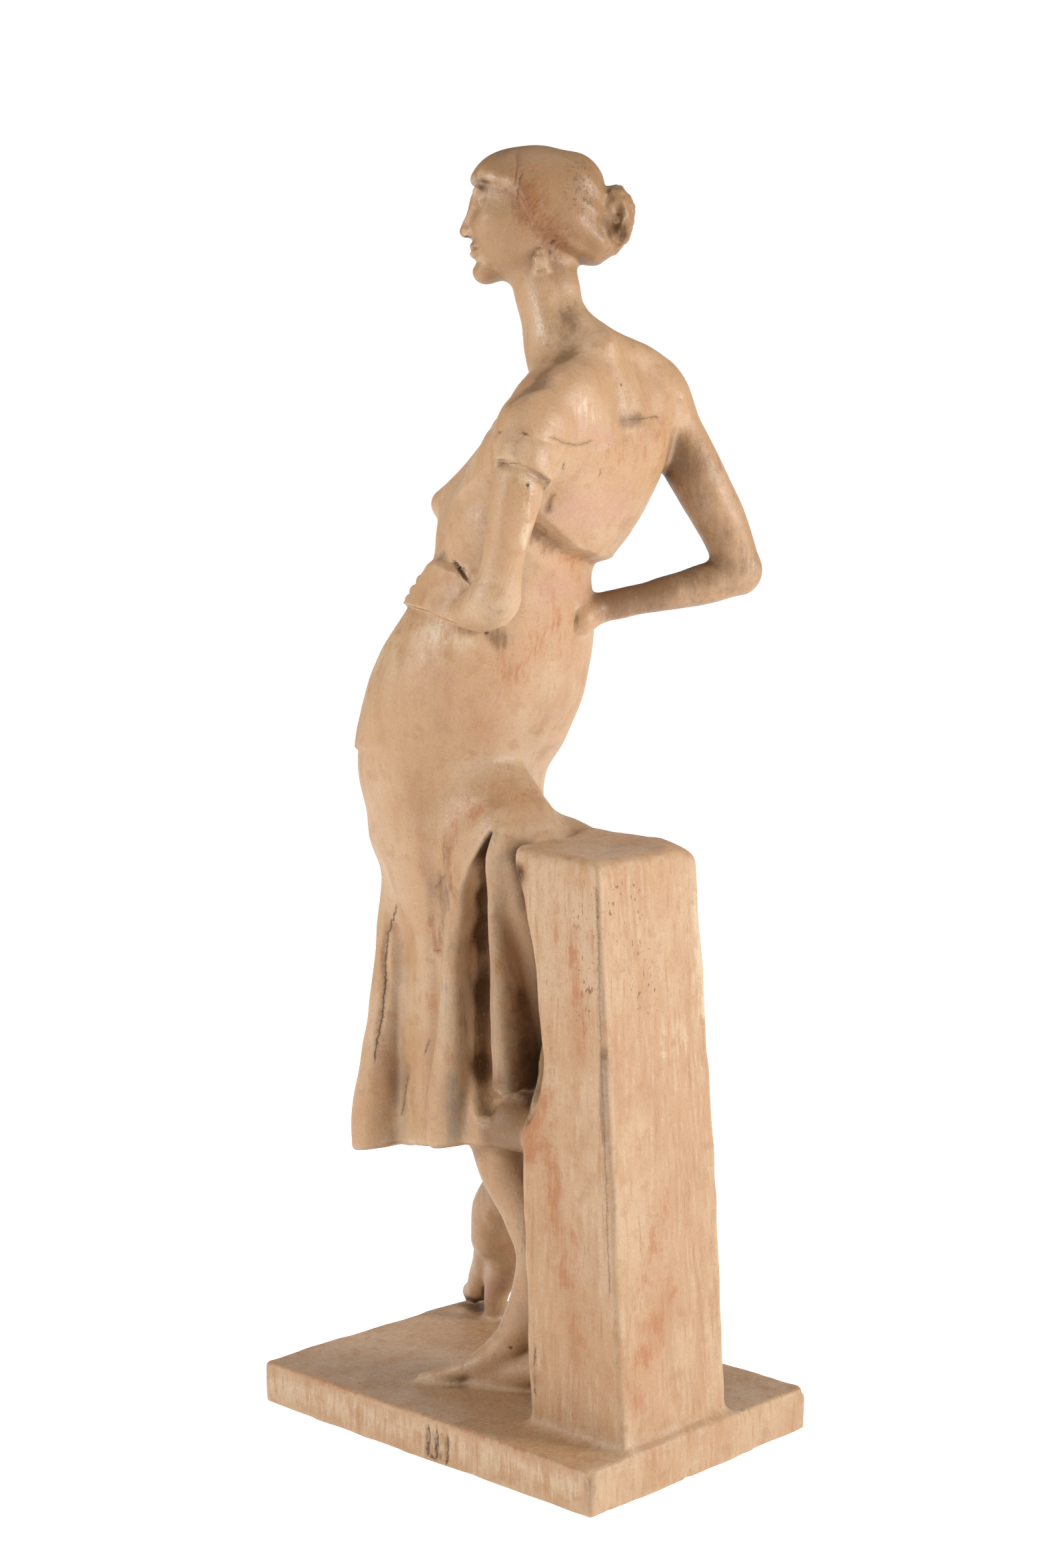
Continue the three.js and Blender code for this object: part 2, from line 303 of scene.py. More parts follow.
centre_x, centre_y, half_width, half_depth = [
    curve_through(LEVELS[:, 0], LEVELS[:, column]) for column in (1, 2, 3, 4)
]
HIDDEN_PLEATS = (
    # direction, spread, depth at the hem, where it starts
    (-97, 15, 9, 275),
    (-138, 15, 9, 275),
    (179, 17, 9, 280),
)


def angle_between(angle, degrees):
    return np.degrees((angle - math.radians(degrees) + math.pi) % (2 * math.pi) - math.pi)


def ring_radius(angle, z):
    cos, sin = np.abs(np.cos(angle)), np.abs(np.sin(angle))
    radius = ((cos / half_width(z)) ** BOXINESS + (sin / half_depth(z)) ** BOXINESS) ** (-1 / BOXINESS)
    for turn, spread, depth, start in HIDDEN_PLEATS:
        opened = np.clip((start - z) / (start - HEM), 0, 1)
        radius = radius + depth * opened * hump(angle_between(angle, turn), spread)
    return radius


def trunk(P):
    z = np.clip(P[:, 2], HEM, TRUNK_TOP)
    x, y = P[:, 0] - centre_x(z), P[:, 1] - centre_y(z)
    field = 0.85 * (np.hypot(x, y) - ring_radius(np.arctan2(y, x), z))
    field = keep(field, P[:, 2] - TRUNK_TOP, 10)
    return keep(field, HEM - 8 - P[:, 2], 5)


print("trunk rings:", len(LEVELS))

# %% [markdown]
# Below the knees the skirt fans out into a flounce. On the side of the photograph it has three
# rolled folds: one round the front, one in the middle, and a thin one that ends in a broken
# stump above the hem, beside the post. Two deep grooves lie between them, narrow at the top.

# %% Flounce
FRONT_FOLD = ((26, -57, 272, 5), (30.5, -60, 259, 5.6), (34.5, -62, 243, 6), (35, -62.7, 226, 6.5),
              (35.5, -64, 208, 7.2), (36.5, -65.5, 190, 8), (38, -67.5, 166, 9.5), (39, -68.5, 142, 11.5),
              (39, -68, 130, 11.5))
MIDDLE_FOLD = ((33, -1, 296, 5), (37, -3.7, 287, 5.6), (40, -6, 266.5, 5.8), (39.5, -9.5, 250.5, 6.3),
               (39.5, -12, 230, 6.6), (40, -11.9, 213, 6.9), (40.5, -12, 190.5, 8.2),
               (41, -12.9, 175.4, 9.6), (40.5, -14.6, 160.4, 11.8), (39, -14.4, 146, 13.4),
               (38.5, -14.4, 134, 13))
THIN_FOLD = ((34, 20, 290, 5), (35, 19.8, 282.3, 4.9), (36, 18.5, 272.3, 4.4), (37, 17.5, 261, 3.8),
             (37.5, 17.8, 243.5, 3.9), (37.5, 20.3, 228.4, 4.6), (37, 22.3, 212, 5.4),
             (36.5, 24.5, 195.8, 6.1), (36, 26.2, 181.4, 6.8), (36, 26.7, 168, 7))
THIN_FOLD_DEPTH = 2.3
THIN_FOLD_END = 170.5
APRON = ((27, -8, 149, 13), (29, 20, 150, 12), (34, 40, 152, 11), (38, 52, 153, 10))
GROOVES = (
    ((44, 17.5, 290, 0.7), (44.5, 14, 283, 1.6), (45, 10, 272, 4.6), (46, 7, 261, 7.4), (46, 5.2, 243, 9.8),
     (46, 5, 228, 10.8), (47, 6, 212, 11.2), (47, 7.2, 196, 11.4), (48, 7.8, 181, 11.2), (50, 8.5, 166, 9),
     (54, 9.5, 152, 4)),
    ((49, 34, 285, 0.8), (51, 32.5, 274, 4.2), (52, 33.5, 263.5, 7.3), (52, 36, 246.5, 9.6),
     (52, 39, 231.5, 10), (52, 41.5, 215.4, 10.2), (52, 44, 199.5, 10), (53, 45.6, 185.4, 9.2),
     (54, 45, 175.6, 7.8), (55, 43, 164, 5), (56, 41, 156, 2)),
)
GROOVE_DEPTH = 2.3
PANEL_VALLEY = ((58, -12, 300, 0.2), (50, -16, 278, 0.5), (42, -19.5, 256, 1), (40, -22, 238, 1.2),
                (39, -24, 207, 1.5), (40, -25, 172, 1.5), (44, -25, 150, 1.2), (47, -25, 136, 1))
PANEL_VALLEY_DEPTH = 2.4
PANEL_VALLEY_SPREAD = 5
FOLDS_UP_TO = 345.0
BEHIND = ((8, 12, 140, 20), (9, 15, 205, 20), (12, 14, 243, 22), (18, 12, 264, 24), (22, 10, 281, 25),
          (20, -1, 296, 22.5))
LEAN = ((2, -2, 284, 16), (-4, 12, 281, 14.5), (-4, 23, 280.6, 13), (-4, 33, 279, 11), (-4, 46, 275, 9))
FOLD_CRACK = ((40, -51.5, 252, 0.2), (40, -57.5, 236, 0.5), (40, -60, 221, 0.6), (41, -58.2, 213, 0.5),
              (42, -59.9, 196, 0.5), (44, -64.6, 172, 0.2))
FOLD_CRACK_DEPTH = 1.3
FOLD_CRACK_SPREAD = 1.2
HEM_AT_FRONT = 126.5
HEM_SLOPE = 0.2
HEM_HIGHEST = 141.0


def skirt_and_trunk(P):
    skirt = trunk(P)
    low = P[:, 2] < FOLDS_UP_TO
    if low.any():
        skirt[low] = flounce(P[low], skirt[low])
    return skirt


def flounce(P, skirt):
    behind = blend(limb(P, BEHIND), limb(P, APRON), 8)
    skirt = blend(blend(skirt, behind, 15), limb(P, LEAN), 10)
    skirt = blend(skirt, limb(P, FRONT_FOLD), 12)
    skirt = blend(skirt, limb(P, MIDDLE_FOLD), 3)
    thin = limb(P, THIN_FOLD, (1, 0, 0), THIN_FOLD_DEPTH)
    skirt = blend(skirt, keep(thin, THIN_FOLD_END - P[:, 2] + 2 * uneven(P, 5, 6), 2), 3)
    hem = np.minimum(HEM_AT_FRONT + HEM_SLOPE * (P[:, 1] + 75), HEM_HIGHEST)
    skirt = keep(skirt, hem - P[:, 2] + 0.9 * uneven(P, 22, 7), 4)
    crack = only_near(P, (20, -75, 160), (60, -35, 265), lambda Q: limb(Q, FOLD_CRACK))
    deeper_or_not = np.maximum(uneven(P, (5, 5, 14), 32) + 0.5, 0)
    return dent(skirt, crack, FOLD_CRACK_DEPTH * deeper_or_not, FOLD_CRACK_SPREAD)


def carve_grooves(clay, P):
    valley = only_near(P, (5, -60, 105), (80, 15, 320), lambda Q: limb(Q, PANEL_VALLEY))
    clay = dent(clay, valley, PANEL_VALLEY_DEPTH, PANEL_VALLEY_SPREAD)
    for groove in GROOVES:
        tool = only_near(P, (5, -40, 110), (100, 90, 310),
                         lambda Q, groove=groove: limb(Q, groove, (1, 0, 0), GROOVE_DEPTH))
        clay = press(clay, tool, 2.2)
    return clay


print("flounce folds: 3, grooves:", len(GROOVES))

# %% [markdown]
# The post leans a little and twists, as a block beaten square by hand does. Its top is worn and
# dips in the middle, and clay is smeared round its foot. The plinth is a cut slab with soft edges.

# %% Post and plinth
PLINTH_HALF = (77.2, 108.8, 10.5)
POST_TOP = 285.0
POST_BELLY = 2.5
DIP = 1.6
DIP_AT = (20, 65)
DIP_INSIDE, DIP_OUTSIDE = 12, 40
TOP_SLOPE = 0.045
WORN_CORNER = (-19, 88)
WORN_CORNER_REACH = 22
WORN_CORNER_DROP = 4.5
POST_BELOW = ((51, 105), (-22, 105), (-18, 48), (52, 48))
POST_ABOVE = ((57, 93.5), (-19, 87), (-14, 34), (47.5, 33))


def post(P):
    level = np.clip((P[:, 2] - 21) / (POST_TOP - 21), 0, 1)[:, None]
    belly = np.array([-POST_BELLY, 0]) * 4 * level * (1 - level)
    corners = [np.array(low) + (np.array(high, float) - np.array(low)) * level + (i in (1, 2)) * belly
               for i, (low, high) in enumerate(zip(POST_BELOW, POST_ABOVE))]
    shaft = None
    for corner, following in zip(corners, corners[1:] + corners[:1]):
        edge = following - corner
        out = np.stack([edge[:, 1], -edge[:, 0]], axis=-1)
        out /= np.linalg.norm(out, axis=-1, keepdims=True)
        side = ((P[:, :2] - corner) * out).sum(axis=-1)
        shaft = side if shaft is None else keep(shaft, side, 4)
    from_dip = np.hypot(P[:, 0] - DIP_AT[0], P[:, 1] - DIP_AT[1])
    top = POST_TOP - DIP + DIP * smooth_step(DIP_INSIDE, DIP_OUTSIDE, from_dip)
    top = top + TOP_SLOPE * (40 - P[:, 0] + 80 - P[:, 1])
    from_corner = np.hypot(P[:, 0] - WORN_CORNER[0], P[:, 1] - WORN_CORNER[1])
    top = top - WORN_CORNER_DROP * (1 - smooth_step(0, WORN_CORNER_REACH, from_corner))
    return keep(shaft, P[:, 2] - top, 7)


def plinth(P):
    waves = 0.5 * uneven(P, (30, 30, 60), 3)
    return slab(P, (0, 0, PLINTH_HALF[2]), PLINTH_HALF, 1.8) - waves * smooth_step(4, 16, P[:, 2])


print("post top at", POST_TOP)

# %% [markdown]
# The dress: the bodice bags over the waist at the back, the tunic ends in a low step over the hips,
# and the sleeve stops above the arm so that the arm comes out from under it.
# Her back has a ridge down the middle, and the shoulder blades stand out on both sides.

# %% Dress and back
COLLARBONES = ((-42, 38, 489, 13), (-18, 38, 497, 13), (14, 39, 489, 13), (42, 46, 472, 12.5))
BREASTS = (
    # joints, blend
    (((35, 22, 470, 9), (31, 5, 459, 10), (28, -13, 448.5, 9.5), (26, -30, 443, 7.2)), 9),
    (((-26, 24, 474, 13), (-22, 8, 461, 14), (-19, -8, 452, 12), (-18, -20, 447, 8)), 16),
)
UNDER_BREAST = ((34, 8, 440, 14), (27, -13, 431, 15), (22, -8, 416, 19))
BLOUSE_OUT = 3.6
WAIST_IN = 2.6
TUNIC_OUT = 1.7
TUNIC_HEM = 326.0
SPINE = ((2, 46, 512, 8), (-3, 47, 497, 8.5), (-6, 52, 478, 6), (-3, 50, 460, 3))
BLADES = (((30, 46, 485), (22, 14, 19)), ((-33, 42, 490), (17, 13, 16)))
BACK_HOLLOW = ((-8, 66, 492), (13, 10, 19), (-12, -14, 0))
BACK_HOLLOW_DEPTH = 2.6
BACK_HOLLOW_SPREAD = 9
SHOULDER_CREASE = ((78, 40, 470, 0.4), (68.5, 56.5, 468.5, 0.4), (53, 62.5, 466, 0.5), (38, 63, 463.5, 0.5),
                   (26, 63, 465.5, 0.4), (10, 64, 470, 0.2))
DRESS_EDGE = ((8, 64, 469, 0.3), (-12.5, 63, 479, 0.5), (-28, 60, 485, 0.5), (-43, 55, 492, 0.3))
FRONT_EDGE = ((64, 34, 471, 0.4), (48, 22, 474, 0.5), (25, 13, 480, 0.5), (0, 12, 486, 0.5),
              (-25, 17, 491, 0.5), (-46, 30, 495, 0.4))
CREASE_DEPTH = 0.8
CREASE_SPREAD = 1.6
NECK_VALLEY = ((12, 33, 532, 0.2), (16, 37.5, 522, 1), (24, 42, 509, 1.4), (40, 48, 498, 1.4),
               (58, 45, 487, 0.4))
NECK_VALLEY_DEPTH = 3.2
NECK_VALLEY_SPREAD = 6.5
SLEEVE_LINE = ((67, 42, 457.5, 0.2), (71.5, 53.5, 456.6, 0.4), (70, 59.6, 455.6, 0.5), (65, 63, 452.3, 0.6),
               (55, 62, 448.4, 0.7), (42, 54, 445.5, 0.7))
SLEEVE_LINE_DEPTH = 1.5
SLEEVE_LINE_SPREAD = 1.3


def blouse_edge(P):
    """The height of the bodice's lower edge, which rises towards her left arm."""
    return 415.5 + 0.0057 * np.maximum(P[:, 0] + 18, 0) ** 2


def hang_the_dress(clay, P):
    """Raises the bodice and the tunic above their lower edges, and sinks the waist between them."""
    z = P[:, 2]
    edge = blouse_edge(P) + 0.7 * uneven(P, 9, 8)
    at_back = smooth_step(-5, 25, P[:, 1])
    bagged = smooth_step(-0.6, 2.2, z - edge) * (1 - smooth_step(8, 48, z - edge))
    waist = smooth_step(-13, -3, z - edge) * (1 - smooth_step(-1.5, 1.0, z - edge))
    clay = clay - at_back * (BLOUSE_OUT * bagged - WAIST_IN * waist)
    hem = TUNIC_HEM + 0.6 * uneven(P, 9, 9)
    forward = 1 - smooth_step(-52, -14, P[:, 1])
    tunic = smooth_step(-0.8, 1.4, z - hem) * (1 - smooth_step(20, 60, z - hem))
    return clay - TUNIC_OUT * forward * tunic


def chest(P):
    form = limb(P, COLLARBONES)
    for breast, softness in BREASTS:
        form = blend(form, limb(P, breast), softness)
    form = blend(form, limb(P, UNDER_BREAST), 12)
    for centre, half in BLADES:
        form = blend(form, egg(P, centre, half, (-14, 0, 0)), 7)
    return blend(form, limb(P, SPINE), 6)


def creases(P):
    """The lines along the top of the dress, at the back and at the front."""
    back = np.minimum(limb(P, SHOULDER_CREASE, (0.3, 1, 0), 4), limb(P, DRESS_EDGE, (0, 1, 0), 4))
    return np.minimum(back, limb(P, FRONT_EDGE, (0, 1, 0), 6))


print("dress parts: blouse, tunic step, back")

# %% [markdown]
# Arms. The near one is bent in front of her and is almost a plain roll of clay with a blunt elbow.
# The far one stands out from the body and leaves an open triangle.

# %% Arms
LEFT_SHOULDER = ((50, 47.5, 473), (12.5, 12, 13.5))
RIGHT_SHOULDER = ((-46, 39, 491), (15, 14, 15))
LEFT_SLEEVE = ((48, 48.5, 472, 12), (58, 51.5, 460, 12.8), (60.5, 51.6, 444, 13))
SLEEVE_END_AT = (66, 62, 453)
SLEEVE_END_FACES = (-0.397, 0.135, 0.908)
LEFT_ARM = ((58.5, 50.5, 459, 9.6), (61, 50.8, 452, 11.2), (63, 51, 444, 11.5), (64.5, 50, 436, 11),
            (66, 48.4, 426, 10), (67, 46.6, 415, 9.4), (67, 42.5, 400, 10.6))
LEFT_FOREARM = ((67, 39.8, 396, 11.4), (62, 28, 393.5, 10.6), (55, 14, 391.5, 8), (48, 0, 392, 5))
RIGHT_ARM = ((-48, 39, 489, 13.6), (-55, 47, 470, 13.8), (-62, 55, 450, 13), (-72, 60, 431, 11.8),
             (-80, 61.5, 414, 10.6))
RIGHT_FOREARM = ((-81.5, 61, 410, 10.8), (-66, 51, 404.5, 9.6), (-50, 42, 400.4, 8.2),
                 (-35, 30.3, 396.4, 6.9), (-24, 22, 393, 7), (-12, 22, 388, 7))
SLEEVE_GAP = ((51, 66, 445, 3), (48, 60, 438, 4), (47, 53, 430, 3.6), (50, 46, 420, 2.4))


def left_sleeve(P):
    """The shoulder with its sleeve, cut off level where the arm comes out."""
    above = (P - np.array(SLEEVE_END_AT)) @ np.array(SLEEVE_END_FACES)
    return blend(egg(P, *LEFT_SHOULDER), keep(limb(P, LEFT_SLEEVE), -above, 1.6), 6)


def left_arm(P):
    return blend(limb(P, LEFT_ARM), limb(P, LEFT_FOREARM), 5)


def right_arm(P):
    form = blend(limb(P, RIGHT_ARM), limb(P, RIGHT_FOREARM), 4)
    return blend(egg(P, *RIGHT_SHOULDER), form, 10)


print("arm joints:", len(LEFT_ARM) + len(LEFT_FOREARM), len(RIGHT_ARM) + len(RIGHT_FOREARM))

# %% [markdown]
# The left hand lies on the belly with its back to the camera. Four fingers wrap round to the front
# and show as a row of knuckles.

# %% Left hand
HAND_TOP = ((-34, 416.5), (-12, 417), (19, 407))
HAND_BOTTOM = ((-42, 394.5), (-28, 394), (-12, 391.5), (1, 387), (12, 383))
HAND_THICK = 3.2
KNUCKLE_LINE = (-26.4, 410.3)
KNUCKLES = ((39.7, -26.4, 410.3), (39.7, -31.6, 405.7), (39.7, -36.4, 400.9), (39.5, -40, 396.8))
FINGER_TIPS = ((8, -38, 409), (4, -42.5, 404), (3, -46.5, 398.5), (8, -49, 393.5))
FINGER_RADIUS = 3.6
FINGER_BOW = 5
SLIT = ((50, -2, 415, 0.3), (50, 0, 413.5, 0.55), (50.5, 4.5, 409, 0.65), (51, 8, 404.5, 0.6))


def lay_the_hand(clay, P):
    """Raises the back of the hand from the belly, with a sharp lower edge."""
    top = np.interp(P[:, 1], *np.transpose(HAND_TOP))
    bottom = np.interp(P[:, 1], *np.transpose(HAND_BOTTOM))
    patch = smooth_step(-0.4, 1.6, P[:, 2] - bottom) * smooth_step(-1, 4, top - P[:, 2])
    behind_knuckles = P[:, 1] - KNUCKLE_LINE[0] + KNUCKLE_LINE[1] - P[:, 2]
    patch = patch * smooth_step(-4, 3, behind_knuckles) * (1 - smooth_step(4, 14, P[:, 1]))
    return clay - HAND_THICK * patch * smooth_step(20, 32, P[:, 0])


def fingers(P):
    form = None
    for knuckle, tip in zip(KNUCKLES, FINGER_TIPS):
        middle = [0.5 * k + 0.5 * t for k, t in zip(knuckle, tip)]
        middle[1] -= FINGER_BOW
        finger = limb(P, ((*knuckle, FINGER_RADIUS), (*middle, FINGER_RADIUS), (*tip, FINGER_RADIUS - 0.6)))
        form = finger if form is None else blend(form, finger, 1.2)
    return form


print("fingers:", len(KNUCKLES))

# %% [markdown]
# The neck is long and strong, and runs straight into the slope of the shoulders.

# %% Neck
NECK = ((2, 28.5, 500, 18.5), (3, 21.5, 515, 17), (4, 18, 528, 15), (4, 14.5, 540, 15.3), (4, 11, 552, 15.3))
TRAPEZIUS = ((1, 33, 518, 9.6), (-16, 38, 510, 11.2), (-32, 39, 505.5, 11.8), (-45, 39, 501, 11.8))
NEAR_TRAPEZIUS = ((4, 25, 527, 8), (11, 37, 506.5, 9.5), (28, 45, 490, 12), (47, 47, 478, 11.5))


def neck(P):
    column = blend(limb(P, NECK), limb(P, TRAPEZIUS), 10)
    return blend(column, limb(P, NEAR_TRAPEZIUS), 6)


print("neck from", NECK[0][2], "to", NECK[-1][2])

# %% [markdown]
# The head is made in its own frame, with the face towards -Y, and then turned to her left.
# Its face is a plain one of ordinary proportions: the eyes lie half way between chin and crown,
# the nose ends half way between brow and chin, and the mouth is a third of the way down from there.

# %% Head
HEAD_AT = (3, 11, 577)
HEAD_TURN = (0, 0, 43.5)
FACE_FORWARD = (0, -4.6, 0)
EYE_APART = 10.0
NO_TURN = (0, 0, 0)
SKULL = ((0, 1, 2), (23.5, 30.3, 26))
FACE_FORMS = (
    # centre, half sizes, turn, width of the join: jaw, its sides, chin, cheeks
    ((0, -8.5, -9), (18.5, 19, 22.5), NO_TURN, 8),
    ((11, -4, -15), (8, 13, 12), NO_TURN, 8),
    ((0, -22.5, -27.5), (7.5, 6, 5.5), NO_TURN, 7),
    ((12.5, -18.5, -6), (7, 7, 6), NO_TURN, 6),
)
SOCKET = ((EYE_APART, -31, 1.5), (7, 6.5, 4.6))
BROW = ((9, -24.6, 6.8), (8, 3, 2.2), (0, -8, -14))
EYEBALL = ((EYE_APART, -19.9, 0.6), 5.2)
EYELIDS = ((EYE_APART, -19.9, 0.6), 6.0)
BETWEEN_LIDS = ((EYE_APART + 0.3, -25.2, 0.2), (4.7, 4.2, 1.7), (0, 6, 0))
NOSE_RIDGE = ((0, -26.4, 5, 2.4), (0, -28.6, -1, 2.3), (0, -31, -6.5, 2.6), (0, -31.6, -8.8, 2.9))
NOSE_WING = ((3.0, -28.6, -9.4), (2.1, 3.2, 2.2))
NOSTRIL = ((1.8, -29.8, -11.8), (0.9, 1.6, 0.9))
MOUTH_FORMS = (
    # centre, half sizes, turn, width of the join: the swelling round the mouth, upper lip, lower lip
    ((0, -24.4, -17.5), (8.4, 4.4, 5.2), NO_TURN, 3),
    ((2.6, -27.4, -15.9), (4.4, 2.2, 1.5), (0, 14, -12), 1.4),
    ((0, -27.2, -19.4), (5.4, 2.5, 1.8), NO_TURN, 1.4),
)
BETWEEN_LIPS = ((0, -30.2, -17.4, 0.7), (4, -29, -17.2, 0.65), (8, -25.6, -17.7, 0.4))
BELOW_LIP = ((0, -29.6, -23.2), (5.5, 2.4, 1.6))


def both_sides(Q):
    """The same points with her right side folded onto her left."""
    return np.concatenate([np.abs(Q[:, :1]), Q[:, 1:]], axis=1)


def built_up(clay, Q, forms):
    for centre, half, turn, join in forms:
        clay = blend(clay, egg(Q, centre, half, turn), join)
    return clay


def face(Q):
    S = both_sides(Q)
    form = built_up(egg(Q, *SKULL), S, FACE_FORMS)
    form = press(form, egg(S, *SOCKET), 5)
    return blend(form, egg(S, *BROW), 4)


def eyes(Q):
    S = both_sides(Q)
    lids = press(egg(S, *EYELIDS), egg(S, *BETWEEN_LIDS), 0.5)
    return blend(egg(S, *EYEBALL), lids, 0.4)


def nose(Q):
    S = both_sides(Q)
    form = blend(limb(Q, NOSE_RIDGE), egg(S, *NOSE_WING), 2)
    return press(form, egg(S, *NOSTRIL), 0.7)


def mouth(clay, Q):
    S = both_sides(Q)
    clay = built_up(clay, S, MOUTH_FORMS)
    clay = press(clay, limb(S, BETWEEN_LIPS), 0.8)
    return press(clay, egg(Q, *BELOW_LIP), 2)


print("eyes", 2 * EYE_APART, "mm apart")

# %% [markdown]
# The hair is a close cap with a straight fringe. Its edge drops from the temple to the ear and runs
# back to the nape, where it is rolled into a bun with a rough hollow. A small square drop hangs
# from the ear. The edge of the hair is a line over the side view of the head.

# %% Hair
HAIR_CAP = ((0, -3.6, 2.6), (26.2, 33.6, 27.6))
HAIR_FORMS = (
    # centre, half sizes, turn, width of the join: nape, over the fringe, crown, above the bun
    ((0, 11.5, -6.5), (21, 17.5, 16.5), NO_TURN, 8),
    ((0, -16.5, 13), (18, 16, 13.6), NO_TURN, 5),
    ((0, 12.5, 11.5), (19, 14.5, 14.5), NO_TURN, 5),
    ((0, 23, -15), (15, 9, 9), NO_TURN, 5),
)
HAIR_EDGE_BACK = (-36, -30, -15.5, -11, -1.5, 6, 15, 34)
HAIR_EDGE_HEIGHT = (12.8, 12.2, 7.6, 3.5, -16.5, -24, -28, -30)
PARTING = ((10, -14, 31, 0.1), (19, -11.5, 19, 0.2), (26, -13.5, 5, 0.2))
BUN = ((0, 31, -4.5), (13, 10.4, 17), (-14, 0, 0))
BUN_HOLLOW = ((15, 32, -5), (5.4, 6, 13), (-14, 0, 0))
EAR_LOBE = ((20, -1.5, -21.5), (1.8, 2, 2.4))
EAR_DROP = ((19.8, -1.5, -26), (2.0, 2.5, 3.3), 0.9, (8, 0, 0))


def hair(Q):
    S = both_sides(Q)
    cap = built_up(egg(Q, *HAIR_CAP), Q, HAIR_FORMS)
    edge = np.interp(Q[:, 1], HAIR_EDGE_BACK, HAIR_EDGE_HEIGHT)
    cap = keep(cap, (edge - Q[:, 2]) * 0.75, 3.5)
    cap = dent(cap, limb(S, PARTING), 0.8, 1.0)
    waves = 0.35 * np.sin(Q[:, 2] * 0.55 + Q[:, 1] * 0.35 + 1.5 * uneven(Q, 14, 5))
    return cap - waves * smooth_step(-2, 12, Q[:, 1])


def bun(Q):
    roll = egg(Q, *BUN) - 0.9 * uneven(Q, (6, 6, 8), 11) - 0.5 * uneven(Q, 3, 12)
    hollow = egg(both_sides(Q), *BUN_HOLLOW) - 1.8 * uneven(Q, 5, 13)
    return press(roll, hollow, 1.2) - 0.6 * uneven(Q, 2.6, 14)


def ear_drop(Q):
    S = both_sides(Q)
    return blend(egg(S, *EAR_LOBE), slab(S, *EAR_DROP), 0.8)


def head(P):
    Q = (P - np.array(HEAD_AT)) @ turned(HEAD_TURN)
    F = Q - np.array(FACE_FORWARD)
    clay = blend(face(F), nose(F), 2.2)
    clay = blend(clay, eyes(F), 1.2)
    clay = mouth(clay, F)
    clay = blend(clay, hair(Q), 1.6)
    clay = blend(clay, bun(Q), 2.5)
    return blend(clay, ear_drop(Q), 0.8)


print("hair edge points:", len(HAIR_EDGE_BACK))

# %% [markdown]
# Her legs come straight out of the lump of the skirt. The left foot stands close to the post on a
# high heel, with clay left under its arch. The right foot is set forward and to her right.

# %% Legs and shoes
LEFT_LEG = ((21, -4, 145, 13.5), (20, 2, 126, 11.8), (15, 11, 104, 10.6), (14, 15, 86, 8.6),
            (14.5, 15, 74, 9), (16.5, 12, 56, 9.4), (19.5, 5.2, 42, 8.8), (27, -6.5, 31, 6.8),
            (36, -18, 26, 4.2), (44, -30, 23, 2.4))
LEFT_HEEL = ((12, 20, 68, 9), (11, 25, 50, 9), (11, 26, 20, 8.5))
LEFT_ARCH = ((28, -5, 23, 5.5), (20, 6, 27, 8.5), (13, 20, 30, 9))
RIGHT_LEG = ((-13, -26, 145, 15.5), (-23, -33, 122, 14), (-31, -43, 101, 13.8), (-37, -57, 84, 14.2),
             (-41, -63, 70, 13.4))
RIGHT_FOOT = ((-46, -70, 64, 9.8), (-52, -81, 46, 8.4), (-57, -91, 33, 7.2), (-61, -101, 28, 4.8))
RIGHT_HEEL = ((-46, -56, 74, 13.5), (-48, -61.5, 56, 11.5), (-48.5, -69.5, 38, 7), (-49, -72.5, 24, 4.6))


def legs(P):
    left = blend(limb(P, LEFT_LEG), limb(P, LEFT_HEEL), 6)
    left = blend(left, limb(P, LEFT_ARCH), 4)
    right = blend(limb(P, RIGHT_LEG), limb(P, RIGHT_FOOT), 7)
    right = blend(right, limb(P, RIGHT_HEEL), 3.5)
    return blend(left, right, 6)


print("shoes: 2")

# %% [markdown]
# Marks of use and making: three tapered strokes in the plinth's long side, chips along its edges, and
# one at the broken end of the thin fold.

# %% Cuts and chips
STROKE_AT = ((7.7, 15.8), (13.4, 14.6), (20, 13.8))
STROKE_HEIGHT = 11.5
CHIPS = (((78, 110, 22), 4.5), ((-78, 109, 20), 3.5), ((78, -50, 22.5), 2.2), ((78, -109, 22), 3),
         ((64, 111, 1), 3), ((10, 111, 1), 3), ((-40, 111, 1), 3), ((52, 34, 171), 4))


def wear(clay, P):
    for y, top in STROKE_AT:
        stroke = ((77.2, y, top - STROKE_HEIGHT, 0.5), (77.2, y, top - 2.5, 1.1), (77.2, y, top, 0.7))
        clay = press(clay, only_near(P, (60, y - 8, -5), (85, y + 8, 26),
                                     lambda Q, stroke=stroke: limb(Q, stroke)), 0.6)
    for at, size in CHIPS:
        low, high = np.array(at) - 3 * size, np.array(at) + 3 * size
        clay = press(clay, only_near(P, low, high, lambda Q, at=at, size=size: egg(Q, at, size)
                                     - 0.25 * size * uneven(Q, 4, 21)), 1.5)
    return clay


print("strokes:", len(STROKE_AT), "chips:", len(CHIPS))

# %% [markdown]
# Everything is joined in the order that the sculptor would build it up: block, legs, skirt, trunk,
# arms, head. The unevenness comes last: broad dents and finer ones, with less of both on the head.

